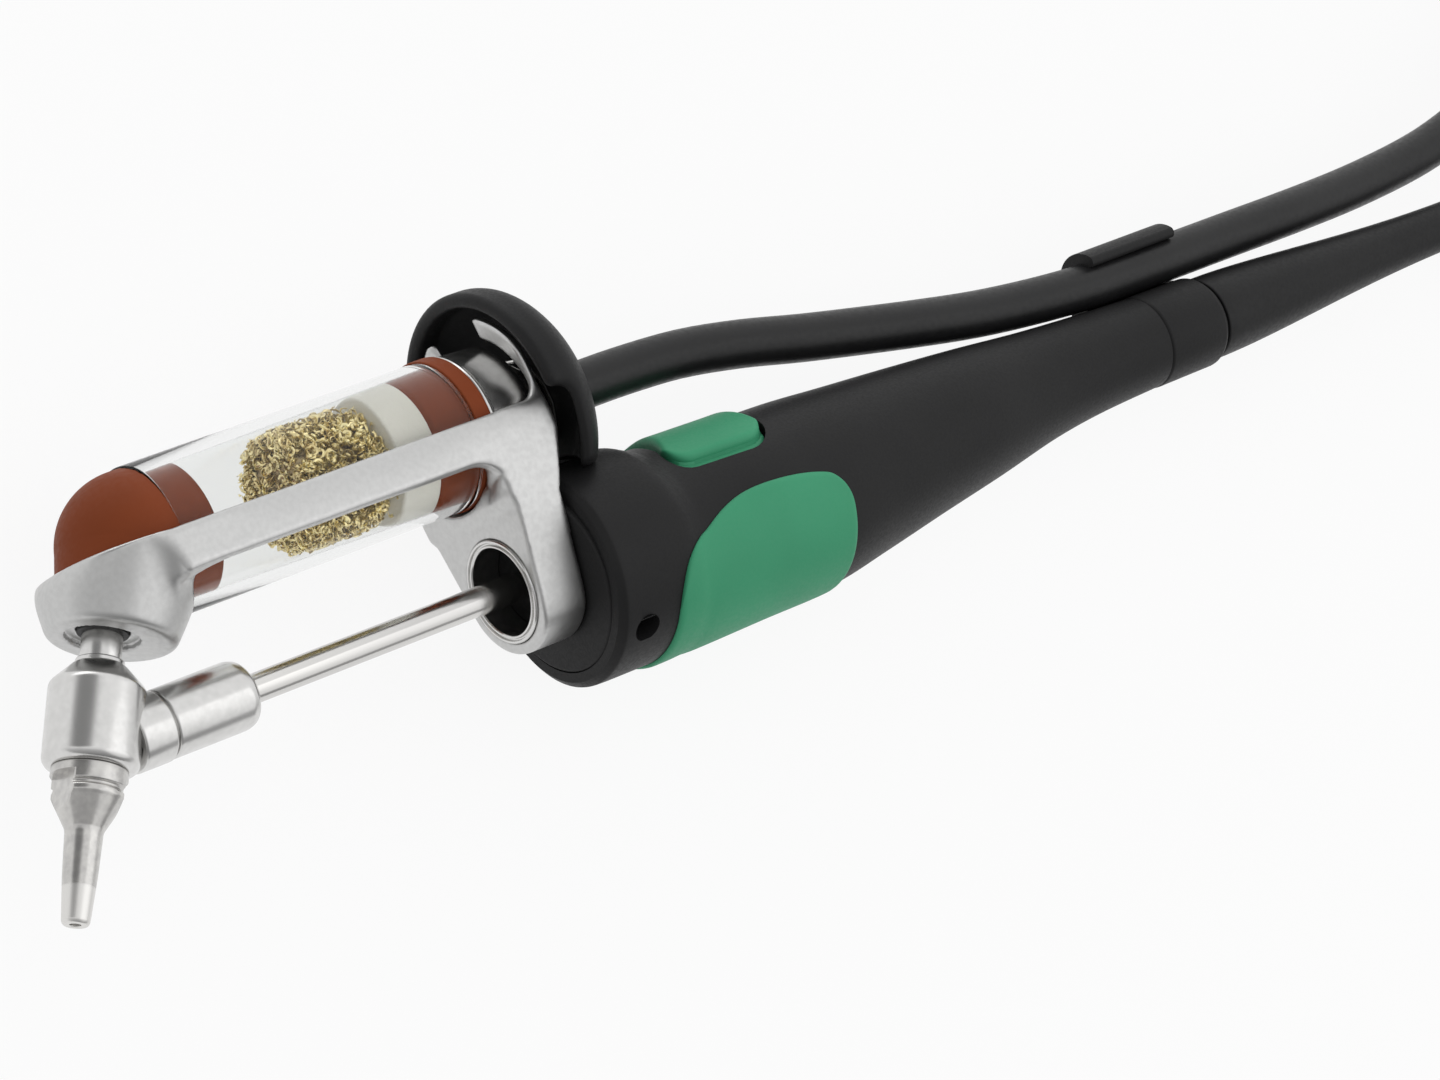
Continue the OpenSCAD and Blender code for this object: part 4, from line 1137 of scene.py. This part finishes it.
# Floor and light
def ray_is(tree, *kinds):
    """1 for the kinds of rays that are named."""
    path = add(tree, "ShaderNodeLightPath")
    total = path.outputs[kinds[0]]
    for other in kinds[1:]:
        most = add(tree, "ShaderNodeMath", operation="MAXIMUM")
        tree.links.new(total, most.inputs[0])
        tree.links.new(path.outputs[other], most.inputs[1])
        total = most.outputs[0]
    return total


# Pale floor that is nearly white to the camera and still shows the shadow
FLOOR_WHITE = 0.9
floor_mat, tree, bsdf = new_material("pale_floor")
mottle = noise(tree, mapped(tree), 40)
tree.links.new(two_colours(tree, mottle, (0.80, 0.80, 0.80), (0.84, 0.84, 0.84)), bsdf.inputs["Base Color"])
bsdf.inputs["Roughness"].default_value = 0.9
glow = add(tree, "ShaderNodeEmission", Color=(1, 1, 1, 1), Strength=1.0)
share = add(tree, "ShaderNodeMath", operation="MULTIPLY")
backdrop_rays = ray_is(tree, "Is Camera Ray", "Is Glossy Ray", "Is Transmission Ray")
tree.links.new(backdrop_rays, share.inputs[0])
share.inputs[1].default_value = FLOOR_WHITE
both = add(tree, "ShaderNodeMixShader")
tree.links.new(share.outputs[0], both.inputs[0])
tree.links.new(bsdf.outputs[0], both.inputs[1])
tree.links.new(glow.outputs[0], both.inputs[2])
tree.links.new(both.outputs[0], tree.nodes["Material Output"].inputs["Surface"])
FLOOR_HALF = 3.0
FLOOR_TOP = -0.0002
floor_mesh = bpy.data.meshes.new("floor")
square = [(sx * FLOOR_HALF, sy * FLOOR_HALF, FLOOR_TOP)
          for sx, sy in ((-1, -1), (1, -1), (1, 1), (-1, 1))]
floor_mesh.from_pydata(square, [], [(0, 1, 2, 3)])
floor_mesh.materials.append(floor_mat)
floor = bpy.data.objects.new("floor", floor_mesh)
scene.collection.objects.link(floor)

# Studio light that fades downwards, with one dark strip for the metal to mirror; white behind the tool
STUDIO = 1.05
STRIP = 0.25
STRIP_EDGE = (0.86, 0.95)
STRIP_WAY = (BACK * 0.69 + UP * 0.66 - RIGHT * 0.28).normalized()
world = bpy.data.worlds.new("world")
scene.world = world
world.use_nodes = True
tree = world.node_tree
tree.nodes.clear()
out = add(tree, "ShaderNodeOutputWorld")
chosen = add(tree, "ShaderNodeMixShader")
white = add(tree, "ShaderNodeBackground", Color=(1, 1, 1, 1), Strength=1.0)
studio = add(tree, "ShaderNodeBackground")
coords = add(tree, "ShaderNodeTexCoord")
height = add(tree, "ShaderNodeVectorMath", operation="DOT_PRODUCT")
tree.links.new(coords.outputs["Generated"], height.inputs[0])
height.inputs[1].default_value = UP
ramp = add(tree, "ShaderNodeValToRGB")
tree.links.new(spread(tree, height.outputs["Value"], 0, 1, -1, 1), ramp.inputs["Fac"])
ramp.color_ramp.elements[0].color = (0.16, 0.16, 0.16, 1)
ramp.color_ramp.elements[1].color = (1.0, 1.0, 1.0, 1)
for spot, level in ((0.36, 0.5), (0.5, 0.75), (0.7, 0.95)):
    ramp.color_ramp.elements.new(spot).color = (level, level, level, 1)
tree.links.new(ramp.outputs["Color"], studio.inputs["Color"])
facing = add(tree, "ShaderNodeVectorMath", operation="DOT_PRODUCT")
tree.links.new(coords.outputs["Generated"], facing.inputs[0])
facing.inputs[1].default_value = STRIP_WAY
level = spread(tree, facing.outputs["Value"], STUDIO, STRIP * STUDIO, *STRIP_EDGE)
tree.links.new(level, studio.inputs["Strength"])
tree.links.new(ray_is(tree, "Is Camera Ray", "Is Transmission Ray"), chosen.inputs[0])
tree.links.new(studio.outputs[0], chosen.inputs[1])
tree.links.new(white.outputs[0], chosen.inputs[2])
tree.links.new(chosen.outputs[0], out.inputs["Surface"])


TARGET = Vector((-0.02, 0, 0.017))


def soft_box(name, offset, size, power):
    """Round lamp, aimed at the front of the handle."""
    lamp = bpy.data.lights.new(name, "AREA")
    lamp.shape = "DISK"
    lamp.size = size
    lamp.energy = power
    ob = bpy.data.objects.new(name, lamp)
    scene.collection.objects.link(ob)
    ob.location = TARGET + offset
    ob.rotation_euler = (-offset).to_track_quat("-Z", "Y").to_euler()


soft_box("key", UP * 0.75 - RIGHT * 0.4, 0.8, 1.6)
soft_box("fill", BACK * 0.35 + RIGHT * 0.75 - UP * 0.1, 1.1, 1.5)
